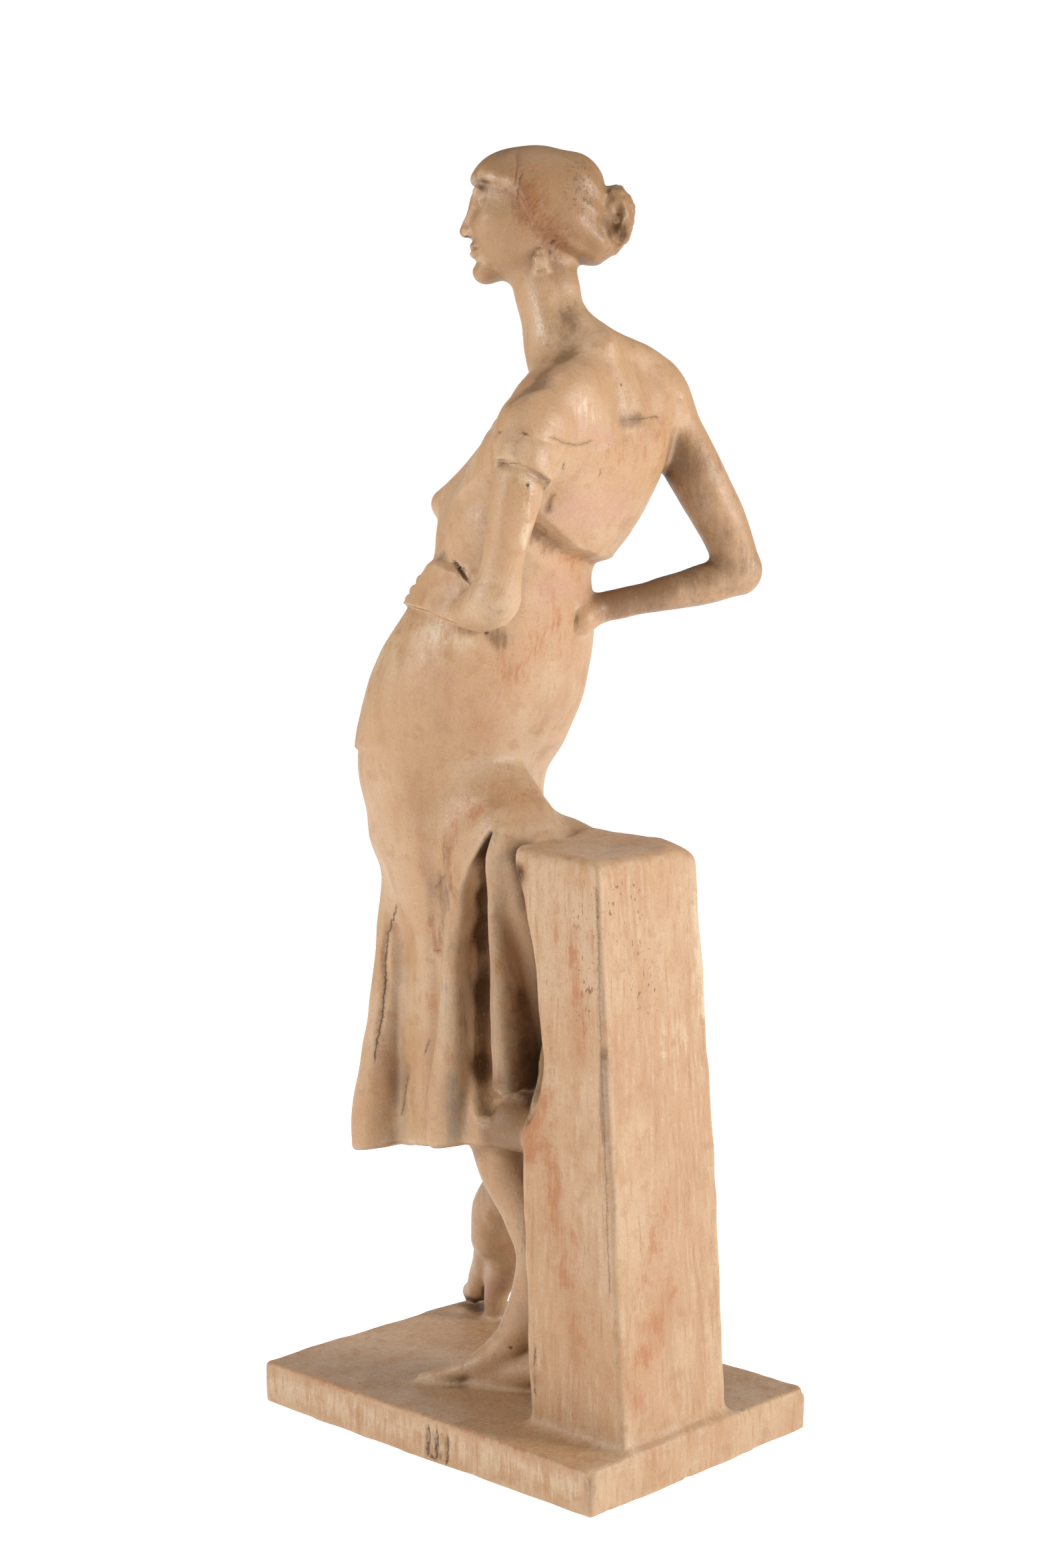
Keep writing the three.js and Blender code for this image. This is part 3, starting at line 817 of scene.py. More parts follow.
# %% The whole figure
NEAR = {
    # form: low and high corner of the box outside which it makes no difference
    post: ((-80, -40, -40), (120, 170, 350)),
    plinth: ((-140, -170, -60), (140, 170, 70)),
    legs: ((-85, -125, 10), (70, 75, 175)),
    skirt_and_trunk: ((-80, -135, 95), (90, 90, 520)),
    chest: ((-90, -70, 390), (95, 95, 540)),
    neck: ((-85, -30, 460), (85, 85, 575)),
    right_arm: ((-120, -10, 360), (-5, 100, 530)),
    left_sleeve: ((5, 0, 420), (110, 100, 520)),
    creases: ((-75, -20, 440), (100, 95, 520)),
    left_arm: ((25, -50, 365), (105, 90, 500)),
    fingers: ((-35, -95, 355), (90, 50, 445)),
    head: ((-60, -55, 515), (65, 80, 640)),
}


def near(P, form):
    return only_near(P, *NEAR[form], form)


def dent_back_and_neck(clay, P):
    hollow = only_near(P, (-70, 20, 430), (60, 120, 560), lambda Q: egg(Q, *BACK_HOLLOW))
    clay = dent(clay, hollow, BACK_HOLLOW_DEPTH, BACK_HOLLOW_SPREAD)
    valley = only_near(P, (-10, 10, 460), (80, 80, 550), lambda Q: limb(Q, NECK_VALLEY))
    return dent(clay, valley, NECK_VALLEY_DEPTH, NECK_VALLEY_SPREAD)


def add_left_arm(clay, P):
    clay = press(clay, only_near(P, (25, 25, 400), (85, 95, 470), lambda Q: limb(Q, SLEEVE_GAP)), 2.5)
    clay = blend(clay, near(P, left_arm), 1.4)
    line = only_near(P, (30, 25, 430), (90, 80, 475), lambda Q: limb(Q, SLEEVE_LINE))
    clay = dent(clay, line, SLEEVE_LINE_DEPTH, SLEEVE_LINE_SPREAD)
    clay = blend(clay, near(P, fingers), 1.8)
    slit = only_near(P, (20, -35, 395), (70, 30, 435), lambda Q: limb(Q, SLIT, (1, 0, 0), 4))
    return press(clay, slit, 0.4)


def clay_field(P):
    clay = blend(near(P, post), near(P, plinth), 7)
    clay = blend(clay, near(P, legs), 6)
    clay = blend(clay, near(P, skirt_and_trunk), 5)
    clay = carve_grooves(clay, P)
    clay = blend(clay, near(P, chest), 10)
    clay = hang_the_dress(clay, P)
    clay = blend(clay, near(P, neck), 8)
    clay = dent_back_and_neck(clay, P)
    clay = blend(clay, near(P, right_arm), 5)
    clay = blend(clay, near(P, left_sleeve), 8)
    crease_depth = CREASE_DEPTH * (0.6 + 0.6 * uneven(P, 11, 31))
    clay = dent(clay, near(P, creases), crease_depth, CREASE_SPREAD)
    clay = lay_the_hand(clay, P)
    clay = add_left_arm(clay, P)
    clay = blend(clay, near(P, head), 5)
    clay = wear(clay, P)
    rough = 1 - 0.75 * smooth_step(500, 560, P[:, 2])
    dents = 0.45 * uneven(P, (16, 16, 26), 1) + 0.3 * uneven(P, (7, 7, 12), 2)
    return keep(clay - dents * rough, -P[:, 2], 1.0)


print("field at the middle of the post:", round(float(clay_field(np.array([[15.0, 75.0, 150.0]]))[0]), 1))

# %% [markdown]
# The field is turned into a skin on a grid that is finer towards the head. A coarse pass finds where
# the surface is, and the fine pass fills in only those blocks.

# %% Fill the grid
LOWEST = -3.6
HIGHEST = 622.0
CELL_AT_HEIGHT = ((0, 1.3), (300, 1.2), (460, 1.0), (530, 0.62), (622, 0.56))
MIDDLE_AT_HEIGHT = ((0, 0, 0), (280, 2, 7), (400, -8, 5), (500, 0, 20), (540, 2, 11), (622, 2, 11))
HALF_COUNT = (84, 92)
BLOCK = 4
NEAR_ENOUGH = 1.1
POINTS_AT_ONCE = 30000


def at_height(table, column, z):
    rows = np.array(table, float)
    return np.interp(z, rows[:, 0], rows[:, column])


def grid_levels():
    levels = [LOWEST]
    while levels[-1] < HIGHEST or len(levels) % BLOCK != 1:
        levels.append(levels[-1] + at_height(CELL_AT_HEIGHT, 1, levels[-1]))
    return np.array(levels)


LEVEL_HEIGHTS = grid_levels()


def grid_point(index):
    """Millimetres of places on the grid, which may lie between its lines."""
    z = np.interp(index[:, 2], np.arange(len(LEVEL_HEIGHTS)), LEVEL_HEIGHTS)
    cell = at_height(CELL_AT_HEIGHT, 1, z)
    x = at_height(MIDDLE_AT_HEIGHT, 1, z) + (index[:, 0] - HALF_COUNT[0]) * cell
    y = at_height(MIDDLE_AT_HEIGHT, 2, z) + (index[:, 1] - HALF_COUNT[1]) * cell
    return np.stack([x, y, z], axis=-1)


def field_of(points):
    """The field at many points, taken in thin layers, so that most forms are far from each layer."""
    order = np.argsort(points[:, 2], kind="stable")
    layers = [order[i : i + POINTS_AT_ONCE] for i in range(0, len(order), POINTS_AT_ONCE)]
    values = np.empty(len(points))
    with ThreadPoolExecutor() as workers:
        for layer, found in zip(layers, workers.map(clay_field, [points[layer] for layer in layers])):
            values[layer] = found
    return values


def in_blocks(coarse, counts):
    """Every block's value on all of its fine cells."""
    fine = coarse
    for axis in range(3):
        fine = np.repeat(fine, BLOCK, axis)
    return fine[: counts[0], : counts[1], : counts[2]]


def fill_grid():
    counts = np.array([2 * HALF_COUNT[0] + 1, 2 * HALF_COUNT[1] + 1, len(LEVEL_HEIGHTS)])
    blocks = (counts - 1) // BLOCK + 1
    corners = np.indices(blocks).reshape(3, -1).T * BLOCK
    coarse = field_of(grid_point(corners.astype(float)))
    reach = NEAR_ENOUGH * BLOCK * at_height(CELL_AT_HEIGHT, 1, LEVEL_HEIGHTS[corners[:, 2]])
    close = (np.abs(coarse) < reach).reshape(blocks)
    for axis in range(3):
        close = close | np.roll(close, -1, axis)
    grid = in_blocks(coarse.reshape(blocks).astype(np.float32), counts).copy()
    index = np.argwhere(in_blocks(close, counts))
    grid[tuple(index.T)] = field_of(grid_point(index.astype(float)))
    return grid, len(index)


grid, filled = fill_grid()
print("grid", grid.shape, "with", filled, "points filled in")

# %% [markdown]
# One vertex goes into every cell that the surface crosses, and one face across every grid edge that
# it cuts. Then each vertex is moved along the slope of the field onto the surface itself.

# %% Skin the field
CORNERS = [(a, b, c) for a in (0, 1) for b in (0, 1) for c in (0, 1)]
PROBE = 0.35
MOST_MOVE = 0.7
LEAST_STEEPNESS = 0.2


def cell_vertices(grid, cells):
    """The middle of the places where the surface crosses the edges of each cell."""
    total = np.zeros((len(cells), 3))
    crossings = np.zeros(len(cells))
    for corner in CORNERS:
        for axis in range(3):
            if corner[axis] == 1:
                continue
            start = cells + corner
            end = start + np.eye(3, dtype=int)[axis]
            a, b = grid[tuple(start.T)], grid[tuple(end.T)]
            crossed = (a < 0) != (b < 0)
            at = np.tile(np.array(corner, float), (len(cells), 1))
            at[:, axis] += a / np.where(crossed, a - b, 1)
            total[crossed] += at[crossed]
            crossings[crossed] += 1
    return cells + total / crossings[:, None]


def edge_faces(inside, number, axis):
    """Four cells round each grid edge along the axis, in the order that faces outwards."""
    lower = [slice(None)] * 3
    upper = [slice(None)] * 3
    lower[axis], upper[axis] = slice(0, -1), slice(1, None)
    edges = np.argwhere(inside[tuple(lower)] != inside[tuple(upper)])
    across, over = (axis + 1) % 3, (axis + 2) % 3
    edges = edges[(edges[:, across] > 0) & (edges[:, over] > 0)]
    corners = []
    for back, down in ((1, 1), (0, 1), (0, 0), (1, 0)):
        cell = edges.copy()
        cell[:, across] -= back
        cell[:, over] -= down
        corners.append(number[tuple(cell.T)])
    faces = np.stack(corners, axis=-1)
    outwards = ~inside[tuple(edges.T)]
    faces[outwards] = faces[outwards][:, ::-1]
    return faces


def slope(points):
    """The field's direction of steepest rise, and its value, at each point."""
    here = field_of(points)
    rise = [(field_of(points + PROBE * direction) - here) / PROBE for direction in np.eye(3)]
    return np.stack(rise, axis=-1), here


def skin(grid):
    inside = grid < 0
    shape = np.array(grid.shape) - 1
    count = np.zeros(shape, np.int8)
    for a, b, c in CORNERS:
        count += inside[a : shape[0] + a, b : shape[1] + b, c : shape[2] + c]
    cells = np.argwhere((count > 0) & (count < 8))
    number = np.full(shape, -1, np.int32)
    number[tuple(cells.T)] = np.arange(len(cells))
    faces = np.concatenate([edge_faces(inside, number, axis) for axis in range(3)])
    points = grid_point(cell_vertices(grid, cells))
    rise, here = slope(points)
    steep = np.maximum((rise**2).sum(axis=-1), LEAST_STEEPNESS)
    move = np.clip(here / steep, -MOST_MOVE, MOST_MOVE)[:, None] * rise
    return points - move, faces


points, faces = skin(grid)
print("skin:", len(points), "vertices,", len(faces), "faces, height", round(float(points[:, 2].max()), 1))

# %% [markdown]
# The skin becomes a mesh in metres, and is thinned to under 200,000 triangles, which takes them from
# the smooth parts first. Then each vertex learns how hollow or how exposed its place is, because
# the hollows are painted darker as shade and the ridges are rubbed pale.

# %% Mesh
MOST_TRIANGLES = 190000
HOLLOW_REACH = 6.0
RIDGE_REACH = 3.0


def thinned(name, points, faces):
    mesh = bpy.data.meshes.new(name)
    mesh.from_pydata((points * MM).tolist(), [], faces.tolist())
    rough = bpy.data.objects.new(name + "_rough", mesh)
    bpy.context.scene.collection.objects.link(rough)
    fewer = rough.modifiers.new("fewer", "DECIMATE")
    fewer.ratio = MOST_TRIANGLES / (2 * len(faces))
    graph = bpy.context.evaluated_depsgraph_get()
    mesh = bpy.data.meshes.new_from_object(rough.evaluated_get(graph))
    bpy.data.objects.remove(rough)
    mesh.name = name
    mesh.polygons.foreach_set("use_smooth", np.ones(len(mesh.polygons), bool))
    piece = bpy.data.objects.new(name, mesh)
    bpy.context.scene.collection.objects.link(piece)
    return piece


def vertex_places(mesh):
    flat = np.empty(3 * len(mesh.vertices))
    mesh.vertices.foreach_get("co", flat)
    return flat.reshape(-1, 3) / MM


def vertex_normals(mesh):
    flat = np.empty(3 * len(mesh.vertices))
    mesh.vertex_normals.foreach_get("vector", flat)
    return flat.reshape(-1, 3)


def paint(mesh, name, values):
    layer = mesh.attributes.new(name, "FLOAT", "POINT")
    layer.data.foreach_set("value", np.ascontiguousarray(values, dtype=np.float32))


figure = thinned("terracotta_clay", points, faces)
places = vertex_places(figure.data)
normals = vertex_normals(figure.data)
hollow = 1 - field_of(places + HOLLOW_REACH * normals) / HOLLOW_REACH
ridge = 1 + field_of(places - RIDGE_REACH * normals) / RIDGE_REACH
paint(figure.data, "hollow", np.clip(hollow, 0, 1))
paint(figure.data, "ridge", np.clip(ridge, 0, 1))
print("triangles:", sum(len(p.vertices) - 2 for p in figure.data.polygons))

# %% [markdown]
# Broad stains are painted on the vertices from short lists, and with them broad painted shade and painted
# highlights. Each mark runs from one place to another and fades out over a spread, and the shader
# breaks up its edge afterwards.

# %% Stains, painted shade and painted highlights
PAINTED_MARKS = {
    # from, to, spread, strength
    "orange": (
        ((47, -6, 292), (46, -8, 262), 4, 0.6),
        ((53, 75, 252), (53, 81, 195), 6, 0.55),
        ((54, 62, 272), (53, 66, 230), 4, 0.45),
        ((52, 60, 150), (51, 66, 90), 5, 0.3),
        ((51, 48, 188), (50, 46, 146), 6, 1.0),
        ((50, 58, 176), (50, 62, 120), 6, 0.45),
        ((49, 42, 168), (46, 36, 148), 6, 0.5),
        ((37, 102, 90), (16, 100, 128), 8, 0.4),
        ((77, -106, 20.5), (77, 106, 20.5), 2.0, 0.45),
        ((57, 93, 284), (49, 36, 286), 2.0, 0.55),
        ((57, 93, 284), (-18, 87, 286), 2.0, 0.55),
        ((26, 22, 575), (13, 29, 561), 8, 0.6),
        ((24, 22, 584), (24, 18, 590), 9, 0.25),
        ((45, 5, 300), (20, 19, 308), 10, 0.35),
        ((55, -14, 396), (54, -30, 384), 8, 0.3),
        ((28, 19, 366), (2, 24, 392), 14, 0.4),
        ((14, 62, 463), (-30, 58, 474), 8, 0.35),
        ((33, 33, 427), (-17, 25, 415), 6, 0.6),
        ((42, -24, 240), (42, -26, 200), 8, 0.35),
        ((51, 73, 110), (51, 80, 60), 10, 0.45),
        ((36, 101, 60), (18, 102, 84), 9, 0.6),
        ((48, 101, 50), (30, 103, 30), 8, 0.4),
    ),
    # Brown patina in places, but mostly painted shade: in the neck valley, the grooves and the bun, under the
    # bodice, the hand, the sleeve and the thin fold's end, on the far arm and on the tops of post and plinth.
    "brown_and_shade": (
        ((8, 31, 548), (13, 36, 528), 6, 0.2),
        ((13, 36, 528), (24, 42, 509), 6, 0.85),
        ((-24, 30, 398), (-66, 50, 406), 12, 1.0),
        ((-50, 54, 462), (-84, 64, 412), 14, 0.7),
        ((6, 26, 506), (8, 16, 544), 15, 0.35),
        ((24, 42, 509), (50, 50.8, 493.5), 5.5, 0.7),
        ((50, 50.8, 493.5), (60, 43, 486), 5.5, 0.6),
        ((2, 61, 478), (-10, 60, 480), 4.5, 0.75),
        ((36, 36, 428), (20, 34, 421), 6, 0.7),
        ((38, 17, 380), (58, 22, 381), 6, 0.75),
        ((-8, 44, 572), (-16, 44, 566), 8, 0.7),
        ((59, 30, 452), (59, 26, 425), 4, 0.35),
        ((42, 28, 162), (40, 22, 152), 11, 0.9),
        ((43, -15, 264), (41, -19, 207), 6, 0.55),
        ((41, -19, 207), (50, -20, 150), 6, 0.5),
        ((38, -6, 236), (38, -5, 178), 6, 0.45),
        ((40, 24, 244), (40, 31, 180), 5, 0.5),
        ((37, -50, 240), (38, -50, 140), 6, 0.3),
        ((36, 52, 287), (0, 72, 287), 26, 0.3),
        ((20, 0, 606), (-14, 2, 604), 10, 0.5),
        ((40, 0, 21), (40, -60, 21), 40, 0.25),
        ((16, 20, 132), (14, 16, 90), 10, 0.35),
        ((77, 108, 16), (77, 106, 4), 5, 0.5),
        ((54, 95, 200), (54, 94, 160), 2.2, 0.8),
        ((56, 93, 283), (51, 104, 22), 2.2, 0.45),
        ((55, 30, 172), (38, 20, 148), 14, 0.9),
        ((14, -12, 570), (14, -12, 555), 26, 0.25),
        ((25, 4, 612), (0, 20, 612), 20, 0.3),
        ((26, 21, 578), (10, 31, 560), 11, 0.45),
        ((48, -8, 288), (47, -10, 258), 6, 0.45),
        ((57, 50, 449), (50, 64, 447), 3, 0.6),
        ((-48, 50, 455), (-40, 56, 474), 6, 0.4),
        ((12, 16, 128), (13, 18, 96), 9, 0.5),
    ),
    # The darkest painted shade: in the grooves, the sleeve gap, under the hand, under the thin fold's end,
    # under the left arch and in the bun's hollow.
    "deep_shade": (
        ((42, 13, 279), (34, 4, 259), 4.5, 1.0),
        ((33, 3, 257), (31, 0, 240), 5.5, 1.0),
        ((31, 0, 240), (30, 0, 212), 6, 0.85),
        ((30, 0, 212), (34, 2, 177), 6, 0.85),
        ((34, 2, 177), (38, 8, 160), 6, 0.8),
        ((46, 39, 274), (40, 35, 258), 6, 1.0),
        ((40, 35, 258), (36, 34, 215), 7, 0.8),
        ((36, 34, 215), (38, 38, 173), 7, 0.75),
        ((41, 18, 166), (41, 34, 168), 5, 0.8),
        ((38, 50, 444), (37, 46, 437), 3, 0.6),
        ((12, 24, 34), (18, 20, 24), 7, 0.6),
        ((-8, 43, 570), (-17, 43, 566), 6, 0.6),
        ((52, 17, 381), (48, 22, 382), 2.5, 0.8),
    ),
    "pink": (
        ((27, 50, 440), (-5, 48, 440), 14, 0.7),
        ((32, 62, 474), (10, 62, 470), 6, 0.6),
        ((13, 27, 405), (-10, 24, 400), 11, 0.6),
        ((-43, -78, 34), (-40, -66, 40), 10, 0.8),
        ((45, 0, 350), (30, 20, 330), 20, 0.4),
    ),
    "grey": (
        ((47, -5, 170), (45, -4, 148), 8, 0.5),
        ((47, -8, 262), (46, -10, 195), 5, 0.4),
        ((73, 47, 392), (70, 30, 386), 7, 0.3),
        ((49, -9, 418), (49, -12, 417), 3, 0.7),
        ((0, -25, 60), (20, 10, 60), 20, 0.25),
    ),
    # Pale cream patches, and painted highlights along the near arm's ridge and on the brow.
    "cream_and_highlight": (
        ((49, 4, 411), (50, 8, 407), 4, 0.7),
        ((56, -10, 383), (50, 6, 379), 6, 0.6),
        ((34, 62, 484), (26, 62, 480), 5, 0.5),
        ((68, 60, 449), (64, 57, 420), 3, 0.7),
        ((11, 95, 196), (0, 93, 200), 9, 0.4),
        ((-17, 88, 262), (-19, 92, 205), 4.5, 0.8),
        ((77, -104, 11), (77, 104, 11), 7, 0.45),
        ((30, -3, 590), (33, 2, 585), 6, 0.45),
    ),
    "soot": (
        ((4, 37, 591), (8, 38, 586), 8, 1.0),
        ((6, 39, 578), (0, 40, 574), 7, 0.9),
        ((-16, 44, 570), (-12, 42, 560), 6, 0.8),
    ),
    "wax": (
        ((69, 61, 450), (66, 57, 412), 4, 1.0),
        ((17, 24, 536), (16, 26, 522), 5, 0.8),
        ((30, 49, 506), (40, 53, 494), 7, 0.8),
        ((57, -25, 392), (56, -30, 372), 9, 0.7),
        ((26, -2, 572), (25, -4, 562), 6, 0.8),
        ((33, -6, 590), (34, 0, 594), 8, 0.6),
        ((66, 50, 482), (62, 52, 490), 6, 0.7),
    ),
    "pitted": (
        ((56, 86, 268), (55, 84, 215), 12, 0.8),
        ((36, 94, 266), (24, 94, 222), 12, 1.0),
        ((53, 58, 250), (51, 62, 100), 12, 0.45),
        ((52, 85, 160), (52, 85, 60), 10, 0.35),
        ((30, 100, 120), (10, 100, 60), 16, 0.35),
        ((42, -30, 300), (40, -30, 170), 22, 0.2),
    ),
}
HAIR_NEAR = 0.9
FACE_SHARE = 0.7


def mark_amount(places, marks):
    total = np.zeros(len(places))
    for start, end, spread, strength in marks:
        bone = np.array(end, float) - np.array(start)
        rest = places - np.array(start)
        t = np.clip(rest @ bone / (bone @ bone), 0, 1)
        total += strength * hump(length(rest - t[:, None] * bone), spread)
    return np.clip(total, 0, 1)


def block_amount(places):
    """1 on the post and the plinth, where the brush left streaks, and a little on the rest."""
    inside = np.minimum(post(places), plinth(places))
    return 1 - 0.72 * smooth_step(0.6, 3.0, inside)


def hair_amount(places):
    """1 on the hair and 0 elsewhere."""
    amount = np.zeros(len(places))
    high = places[:, 2] > 535
    Q = (places[high] - np.array(HEAD_AT)) @ turned(HEAD_TURN)
    amount[high] = 1 - smooth_step(0.3, HAIR_NEAR, np.minimum(hair(Q), bun(Q)))
    return np.maximum(amount, FACE_SHARE * smooth_step(535, 552, places[:, 2]))


for colour, marks in PAINTED_MARKS.items():
    paint(figure.data, colour, mark_amount(places, marks))
paint(figure.data, "hair", hair_amount(places))
paint(figure.data, "block", block_amount(places))
print("stains:", {colour: len(marks) for colour, marks in PAINTED_MARKS.items()})

# %% [markdown]
# The shader works in millimetres of the object. These helpers add one node each, so that the
# material can be read as a row of steps.

# %% Shader steps
def add(tree, kind, inputs=None, output=0, **settings):
    """A node with its settings, and its inputs joined or set. Gives the output to join next."""
    made = tree.nodes.new("ShaderNode" + kind)
    for name, value in settings.items():
        setattr(made, name, value)
    for socket, value in (inputs or {}).items():
        if isinstance(value, bpy.types.NodeSocket):
            tree.links.new(value, made.inputs[socket])
        else:
            made.inputs[socket].default_value = value
    return made.outputs[output]


def calc(tree, a, b, operation="ADD"):
    return add(tree, "Math", {0: a, 1: b}, operation=operation)


def product(tree, a, b):
    return calc(tree, a, b, "MULTIPLY")


def vector(tree, a, b, operation):
    return add(tree, "VectorMath", {0: a, 1: b}, operation=operation)


def ramp(tree, value, low, high, start=0.0, end=1.0):
    """The value carried from low..high to start..end, softly at both ends."""
    inputs = {"Value": value, "From Min": low, "From Max": high, "To Min": start, "To Max": end}
    return add(tree, "MapRange", inputs, interpolation_type="SMOOTHSTEP")


def noise(tree, place, name):
    """Soft random values about 0.5, in lumps of the size that the named noise has."""
    size, detail, roughness = NOISES[name]
    inputs = {"Vector": place, "Scale": 1 / size, "Detail": detail, "Roughness": roughness}
    return add(tree, "TexNoise", inputs)


def drawn_out(tree, place, share):
    """The place with its height shrunk to a share, which draws what is made from it out upwards."""
    return vector(tree, place, (1, 1, share), "MULTIPLY")


def amount_of(tree, name):
    return add(tree, "Attribute", output=2, attribute_name=name)


def blot(tree, under, over, amount):
    """The colour over laid on the colour under, as much as the amount says."""
    made = tree.nodes.new("ShaderNodeMix")
    made.data_type = "RGBA"
    for socket, value in ((0, amount), (6, under), (7, over)):
        if isinstance(value, bpy.types.NodeSocket):
            tree.links.new(value, made.inputs[socket])
        else:
            made.inputs[socket].default_value = value
    return made.outputs[2]


LIGHT_SHARE = 0.6


def to_linear(part):
    """One part of a screen colour, 0 to 255, as an amount of light."""
    part = part / 255
    return part / 12.92 if part <= 0.04045 else ((part + 0.055) / 1.055) ** 2.4


def clay_tone(red, green, blue):
    """The linear colour of clay that looks like the screen colour in this light."""
    return [LIGHT_SHARE * to_linear(part) for part in (red, green, blue)] + [1.0]


print("tan is", [round(c, 3) for c in clay_tone(205, 170, 135)])

# %% [markdown]
# Single cracks and pits are finer than the mesh. Each is given by the pixels of the photograph where
# it shows, and a ray from the camera through the pixel finds its place on the clay. The vertices
# near a crack learn how far they are from it and on which side, so that the shader can draw it
# thin where the side changes.

# %% Cracks and pits
CRACK_PIXELS = (
    # half width, pixels across and down along the crack
    (0.45, ((595, 1360), (583, 1400), (578, 1446), (579, 1471), (574, 1521), (561, 1593))),
    (0.3, ((783, 262), (778, 282), (775, 298))),
    (0.3, ((644, 1560), (638, 1580))),
    (0.25, ((612, 1615), (603, 1670))),
    (0.25, ((654, 1426), (661, 1426))),
    (0.35, ((803, 2020), (803, 2090))),
    (0.12, ((895, 1335), (902, 1580), (909, 1760), (916, 1950))),
    (0.3, ((703, 1963), (725, 1963))),
    (0.35, ((749, 649), (789, 651))),
    (0.15, ((829, 657), (862, 669), (886, 662))),
    (0.2, ((945, 630), (985, 625))),
    (0.2, ((846, 697), (845, 703))),
    (0.2, ((901, 706), (900, 712))),
    (0.25, ((666, 1315), (655, 1330))),
)
PIT_PIXELS = (
    # pixel across and down, radius
    ((845, 536), 0.7), ((793, 729), 0.9), ((855, 768), 0.6), ((935, 765), 0.6), ((932, 577), 0.6),
    ((766, 2022), 0.8), ((863, 1330), 0.8), ((875, 1339), 1.0), ((829, 1409), 0.9), ((881, 1398), 1.2),
    ((877, 1424), 1.6), ((881, 1506), 0.8), ((851, 1639), 0.8), ((875, 1655), 0.7), ((852, 1785), 0.9),
    ((728, 948), 1.8), ((829, 363), 1.2), ((826, 378), 1.0),
)
STROKE_SHADES = (
    # half width, the stroke's y, its top and its bottom
    (0.85, 7.7, 15.6, 4.2),
    (0.85, 13.4, 14.4, 3.8),
    (0.8, 20, 13.6, 3),
)
PLINTH_SIDE = PLINTH_HALF[0]
CRACK_REACH = 6.0
CRACK_SLACK = 1.0
PIT_REACH = 2.4
FAR_OFF = 99.0


def seen_at(pixel):
    """The place on the clay that shows at a pixel of the photograph, in millimetres."""
    across, down = pixel
    sideways = (across - PHOTO_WIDTH / 2) * SENSOR_LONG_SIDE / PHOTO_HEIGHT
    upwards = (PHOTO_HEIGHT / 2 - down) * SENSOR_LONG_SIDE / PHOTO_HEIGHT
    way = camera.rotation_euler.to_matrix() @ Vector((sideways, upwards, -FOCAL_LENGTH))
    graph = bpy.context.evaluated_depsgraph_get()
    hit = figure.ray_cast(camera.location, way.normalized(), depsgraph=graph)
    return np.array(hit[1]) / MM


def all_cracks():
    """The half width and the joints of every crack and stroke."""
    cracks = [(width, [seen_at(pixel) for pixel in pixels]) for width, pixels in CRACK_PIXELS]
    # The sleeve's lower edge and the three strokes are cut into the mesh too; drawing them dark as cracks is
    # painted shade in their cuts.
    cracks.append((0.3, np.array(SLEEVE_LINE)[:, :3]))
    for width, y, top, bottom in STROKE_SHADES:
        cracks.append((width, np.array([(PLINTH_SIDE, y, top), (PLINTH_SIDE, y, bottom)])))
    return cracks


def paint_cracks(mesh, places, normals):
    """For each vertex: distance to the nearest crack, the same with a sign for its side, and width."""
    nearest = np.full(len(places), CRACK_REACH)
    side = np.full(len(places), CRACK_REACH)
    breadth = np.zeros(len(places))
    for width, joints in all_cracks():
        for start, end in zip(joints, joints[1:]):
            bone = end - start
            rest = places - start
            t = np.clip(rest @ bone / (bone @ bone), 0, 1)
            off = rest - t[:, None] * bone
            away = length(off)
            closer = away < nearest
            left = np.sign((off * np.cross(bone, normals)).sum(axis=-1))
            nearest[closer] = away[closer]
            side[closer] = (away * left)[closer]
            breadth[away < CRACK_REACH] = width
    paint(mesh, "crack", nearest)
    paint(mesh, "crack_side", side)
    paint(mesh, "crack_width", breadth)


def paint_pits(mesh, places):
    """For each vertex: the way from the nearest pit, in radii of that pit."""
    offsets = np.full((len(places), 3), FAR_OFF)
    for pixel, radius in PIT_PIXELS:
        off = places - seen_at(pixel)
        near = length(off) < PIT_REACH
        offsets[near] = off[near] / radius
    layer = mesh.attributes.new("pit", "FLOAT_VECTOR", "POINT")
    layer.data.foreach_set("vector", offsets.astype(np.float32).ravel())


def to_marks(tree, wobble):
    """How far outside the nearest crack or pit the place is."""
    across = calc(tree, calc(tree, amount_of(tree, "crack_side"), wobble), 0.0, "ABSOLUTE")
    beyond = calc(tree, amount_of(tree, "crack"), CRACK_SLACK, "SUBTRACT")
    nearest = calc(tree, calc(tree, across, beyond, "MAXIMUM"), amount_of(tree, "crack_width"), "SUBTRACT")
    from_pit = add(tree, "Attribute", output=1, attribute_name="pit")
    pit = add(tree, "VectorMath", {0: from_pit}, 1, operation="LENGTH")
    pit = calc(tree, calc(tree, pit, 1.0, "SUBTRACT"), wobble)
    return calc(tree, nearest, pit, "MINIMUM")


paint_cracks(figure.data, places, normals)
paint_pits(figure.data, places)
print("cracks:", len(CRACK_PIXELS), "pits:", len(PIT_PIXELS))

# %% [markdown]
# The fired clay: a warm tan coat, brushed on, with paler and more orange places, painted shade in the
# hollows, rubbed ridges, fine grain, flecks and a little wax that shines in places.

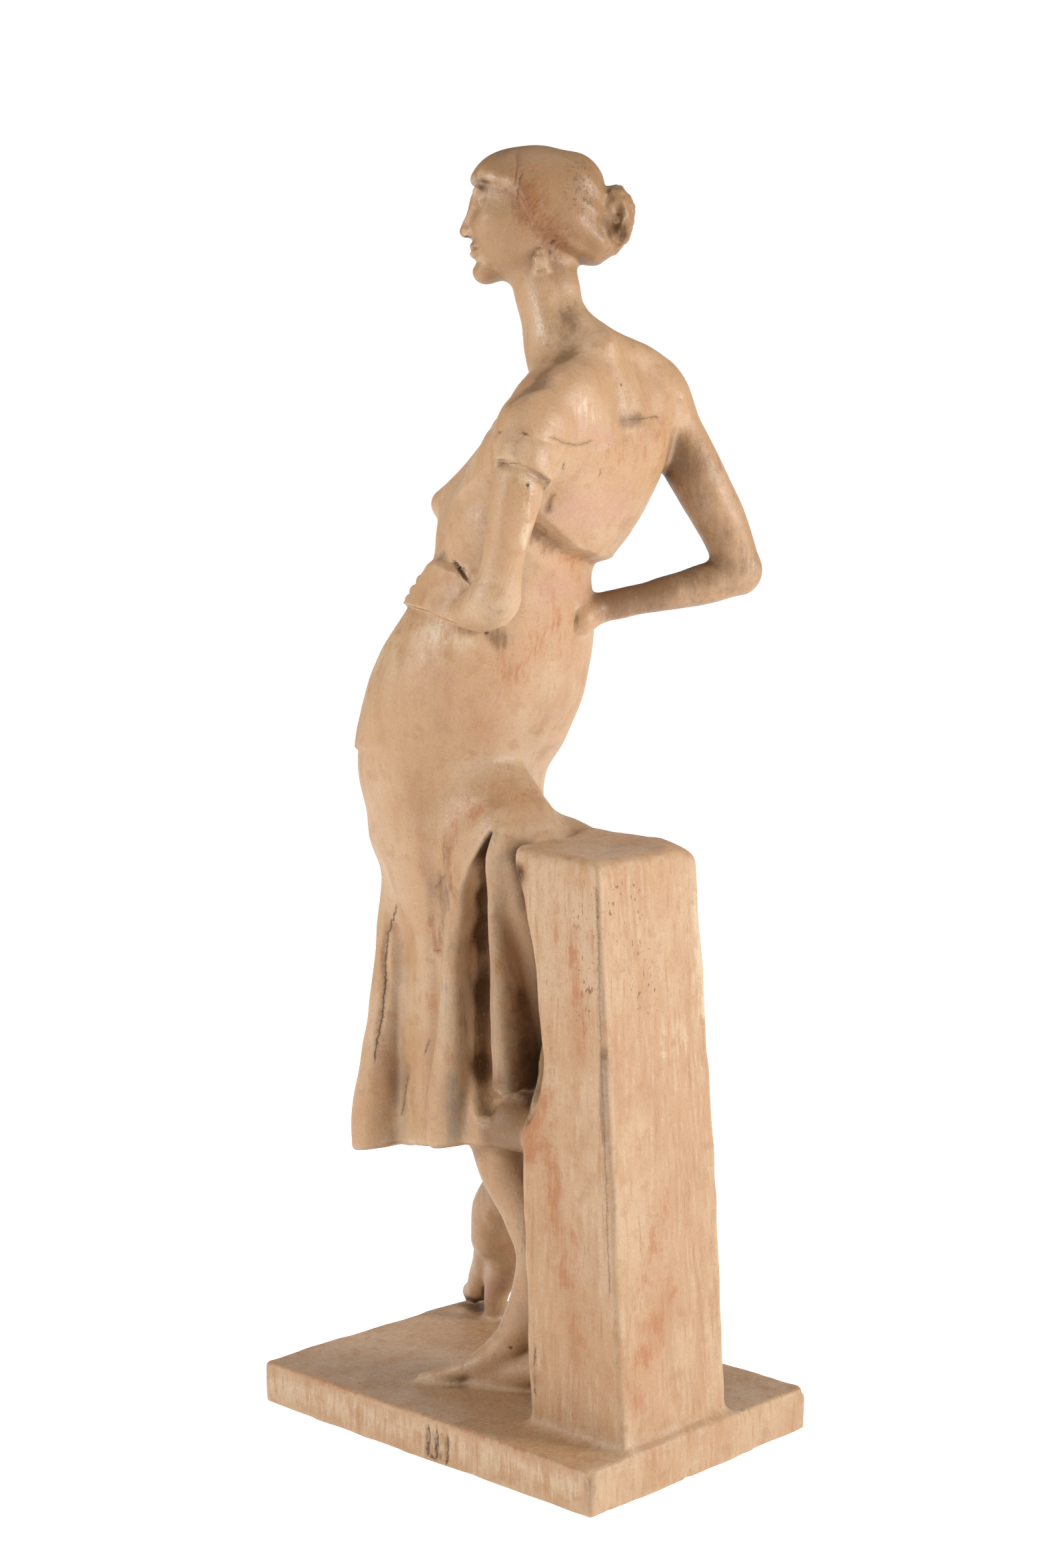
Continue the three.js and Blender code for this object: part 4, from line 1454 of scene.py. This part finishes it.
# %% Terracotta
TAN = clay_tone(212, 167, 123)
PALE = clay_tone(230, 198, 162)
SAND = clay_tone(196, 146, 102)
ORANGE = clay_tone(192, 120, 66)
CREAM_AND_HIGHLIGHT = clay_tone(236, 208, 174)
PINK = clay_tone(214, 162, 134)
BROWN_AND_SHADE = clay_tone(136, 98, 62)
GREY = clay_tone(152, 136, 116)
HAIR_TONE = clay_tone(172, 128, 84)
DEEP_SHADE = clay_tone(84, 55, 31)
CRACK = clay_tone(88, 62, 42)
SOOT = clay_tone(78, 64, 54)
FLECK = clay_tone(140, 88, 50)
HATCHING = clay_tone(128, 72, 34)
NOISES = {
    # size, detail, roughness
    "clouds": (38.0, 2.0, 0.5), "bands": (10.0, 2.0, 0.55), "streaks": (2.4, 3.0, 0.7),
    "mottle": (10.0, 4.0, 0.65), "grain": (0.9, 2.0, 0.6), "speckle": (2.6, 3.0, 0.75),
    "hatching": (1.1, 2.0, 0.6), "specks": (1.5, 1.0, 0.5),
}
HATCHING_TURN = (0.7, 0.5, 0.0)
MARK_TONES = (
    # name, tone, most, raggedness
    ("pink", PINK, 0.75, 1.0), ("cream_and_highlight", CREAM_AND_HIGHLIGHT, 0.9, 1.2), ("orange", ORANGE, 0.85, 1.3),
    ("grey", GREY, 0.8, 0.8), ("brown_and_shade", BROWN_AND_SHADE, 0.8, 0.6), ("deep_shade", DEEP_SHADE, 0.95, 0.3),
)


def brushed_clay(tree, place, streaks, mottle):
    """The coat of colour with its stains, painted shade and painted highlights, before the shade of the
    hollows.
    """
    clouds = noise(tree, place, "clouds")
    bands = noise(tree, drawn_out(tree, place, 0.14), "bands")
    colour = blot(tree, TAN, PALE, ramp(tree, clouds, 0.4, 0.68, 0.0, 0.5))
    colour = blot(tree, colour, SAND, ramp(tree, bands, 0.5, 0.72, 0.0, 0.5))
    brushed = amount_of(tree, "block")
    colour = blot(tree, colour, PALE, product(tree, ramp(tree, streaks, 0.5, 0.66, 0.0, 0.55), brushed))
    colour = blot(tree, colour, SAND, product(tree, ramp(tree, streaks, 0.46, 0.3, 0.0, 0.85), brushed))
    colour = blot(tree, colour, SAND, ramp(tree, mottle, 0.5, 0.3, 0.0, 0.6))
    colour = blot(tree, colour, HAIR_TONE, product(tree, amount_of(tree, "hair"), 0.85))
    ragged = calc(tree, ramp(tree, mottle, 0.3, 0.7, -0.2, 0.2), ramp(tree, streaks, 0.3, 0.7, -0.2, 0.2))
    for name, tone, most, raggedness in MARK_TONES:
        broken = calc(tree, amount_of(tree, name), product(tree, ragged, raggedness))
        colour = blot(tree, colour, tone, ramp(tree, broken, 0.15, 0.85, 0.0, most))
    return colour


def flecks(tree, place):
    """Small upright specks of uneven size and shape, 1 inside and 0 outside."""
    specks = noise(tree, drawn_out(tree, place, 0.5), "specks")
    return ramp(tree, specks, 0.64, 0.7)


def make_terracotta():
    material = bpy.data.materials.new("fired_clay")
    material.use_nodes = True
    tree = material.node_tree
    tree.nodes.clear()
    out = tree.nodes.new("ShaderNodeOutputMaterial")
    shader = tree.nodes.new("ShaderNodeBsdfPrincipled")
    tree.links.new(shader.outputs[0], out.inputs[0])

    metres = add(tree, "TexCoord", output=3)
    place = add(tree, "VectorMath", {0: metres, "Scale": 1000.0}, operation="SCALE")
    streaks = noise(tree, drawn_out(tree, place, 0.1), "streaks")
    mottle = noise(tree, place, "mottle")
    grain = noise(tree, place, "grain")
    speckle = noise(tree, place, "speckle")

    colour = brushed_clay(tree, place, streaks, mottle)
    rubbed = product(tree, ramp(tree, amount_of(tree, "ridge"), 0.12, 0.5), ramp(tree, mottle, 0.35, 0.6))
    colour = blot(tree, colour, PALE, product(tree, rubbed, 0.6))
    # The hollows are darkened with brown and then near-black: this is painted shade, where less light
    # reaches.
    hollow_shade = calc(tree, amount_of(tree, "hollow"), ramp(tree, mottle, 0.3, 0.7, -0.08, 0.08))
    colour = blot(tree, colour, BROWN_AND_SHADE, ramp(tree, hollow_shade, 0.25, 0.75, 0.0, 0.65))
    colour = blot(tree, colour, DEEP_SHADE, ramp(tree, hollow_shade, 0.6, 1.05, 0.0, 0.8))

    pitted = ramp(tree, calc(tree, amount_of(tree, "pitted"), speckle), 0.85, 1.2)
    holes = product(tree, flecks(tree, place), pitted)
    colour = blot(tree, colour, FLECK, product(tree, holes, 0.8))
    turned_place = add(tree, "Mapping", {"Vector": place, "Rotation": HATCHING_TURN})
    hatching = noise(tree, drawn_out(tree, turned_place, 0.16), "hatching")
    hatched = product(tree, ramp(tree, hatching, 0.5, 0.6),
                      product(tree, amount_of(tree, "hair"), amount_of(tree, "orange")))
    colour = blot(tree, colour, HATCHING, product(tree, hatched, 0.85))
    sooty = product(tree, ramp(tree, speckle, 0.5, 0.66), amount_of(tree, "soot"))
    colour = blot(tree, colour, SOOT, product(tree, sooty, 0.85))
    away = to_marks(tree, ramp(tree, speckle, 0.3, 0.7, -0.5, 0.5))
    colour = blot(tree, colour, BROWN_AND_SHADE, ramp(tree, away, 1.4, 0.0, 0.0, 0.35))
    colour = blot(tree, colour, CRACK, ramp(tree, away, 0.2, -0.25, 0.0, 0.85))
    colour = blot(tree, colour, BROWN_AND_SHADE, ramp(tree, grain, 0.42, 0.75, 0.0, 0.2))
    colour = blot(tree, colour, PALE, ramp(tree, speckle, 0.56, 0.8, 0.0, 0.3))

    strokes = product(tree, streaks, product(tree, amount_of(tree, "block"), 0.5))
    height = calc(tree, strokes, product(tree, grain, 0.12))
    height = calc(tree, height, product(tree, speckle, 0.45))
    bump = add(tree, "Bump", {"Strength": 0.75, "Distance": 0.0007, "Height": height})

    tree.links.new(colour, shader.inputs["Base Color"])
    tree.links.new(bump, shader.inputs["Normal"])
    waxed = ramp(tree, calc(tree, amount_of(tree, "wax"), ramp(tree, speckle, 0.3, 0.7, -0.5, 0.5)), 0.2, 0.7)
    dull = ramp(tree, speckle, 0.3, 0.7, 0.4, 0.6)
    tree.links.new(calc(tree, dull, product(tree, waxed, 0.22), "SUBTRACT"), shader.inputs["Roughness"])
    # The places painted with the darkest shade shine less.
    sheen = ramp(tree, amount_of(tree, "deep_shade"), 0.0, 0.6, 0.42, 0.05)
    tree.links.new(sheen, shader.inputs["Specular IOR Level"])
    return material


material = make_terracotta()
figure.data.materials.append(material)
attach(figure, "root")
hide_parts(NODE)
print("nodes in the material:", len(material.node_tree.nodes))

# %% [markdown]
# A plain pale floor and soft studio light: a light from overhead whitens the floor, two broad lamps
# stand left and right of the camera, and the room is brightest behind the figure.

# %% Floor and lights
FLOOR_HALF = 14.0
LEFT_LAMP = ((2.0, -0.75, 1.1), 0.6, 35.5)
RIGHT_LAMP = ((-0.85, 1.95, 0.9), 0.6, 48.0)
OVERHEAD = 0.86
PAPER_GLOW = 0.58
ROOM_LIGHT = 0.22
BACKDROP_LIGHT = 1.04
BACKDROP_INSIDE, BACKDROP_OUTSIDE = math.radians(22), math.radians(34)
AIM_AT = Vector((0, 0, 0.33))


def make_floor():
    half = FLOOR_HALF
    mesh = bpy.data.meshes.new("floor")
    mesh.from_pydata([(-half, -half, 0), (half, -half, 0), (half, half, 0), (-half, half, 0)], [],
                     [(0, 1, 2, 3)])
    floor = bpy.data.objects.new("floor", mesh)
    bpy.context.scene.collection.objects.link(floor)
    paper = bpy.data.materials.new("paper")
    paper.use_nodes = True
    paper_shader = paper.node_tree.nodes["Principled BSDF"]
    paper_shader.inputs["Base Color"].default_value = (0.94, 0.94, 0.94, 1)
    paper_shader.inputs["Roughness"].default_value = 1.0
    paper_shader.inputs["Emission Color"].default_value = (1, 1, 1, 1)
    paper_shader.inputs["Emission Strength"].default_value = PAPER_GLOW
    paper_shader.inputs["Specular IOR Level"].default_value = 0.0
    mesh.materials.append(paper)
    floor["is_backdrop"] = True


def area_light(name, at, size, watts):
    data = bpy.data.lights.new(name, "AREA")
    data.size = size
    data.energy = watts
    lamp = bpy.data.objects.new(name, data)
    lamp.location = at
    lamp.rotation_euler = (AIM_AT - Vector(at)).to_track_quat("-Z", "Y").to_euler()
    bpy.context.scene.collection.objects.link(lamp)


def make_world():
    """An even room light that is brighter in the part of the room behind the figure."""
    world = bpy.data.worlds.new("studio")
    world.use_nodes = True
    tree = world.node_tree
    direction = add(tree, "TexCoord", output=0)
    facing = add(tree, "VectorMath", {0: direction, 1: looking()}, 1, operation="DOT_PRODUCT")
    edge, middle = math.cos(BACKDROP_OUTSIDE), math.cos(BACKDROP_INSIDE)
    light = ramp(tree, facing, edge, middle, ROOM_LIGHT, BACKDROP_LIGHT)
    background = tree.nodes["Background"]
    background.inputs["Color"].default_value = (1, 1, 1, 1)
    tree.links.new(light, background.inputs["Strength"])
    bpy.context.scene.world = world


def overhead_light():
    data = bpy.data.lights.new("overhead", "SUN")
    data.energy = OVERHEAD
    data.angle = math.radians(50)
    lamp = bpy.data.objects.new("overhead", data)
    bpy.context.scene.collection.objects.link(lamp)


make_floor()
make_world()
area_light("left_lamp", *LEFT_LAMP)
area_light("right_lamp", *RIGHT_LAMP)
overhead_light()
bpy.context.scene.view_settings.view_transform = "Standard"
print("lights: two lamps, overhead and the room")

# %% [markdown]
# The size before and after the rebuild is given as the last value.

# %% Finish
def plain(bounds):
    return json.loads(json.dumps(bounds, default=lambda value: [float(part) for part in value]))


{"before": plain(bounds_before), "after": plain(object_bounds())}
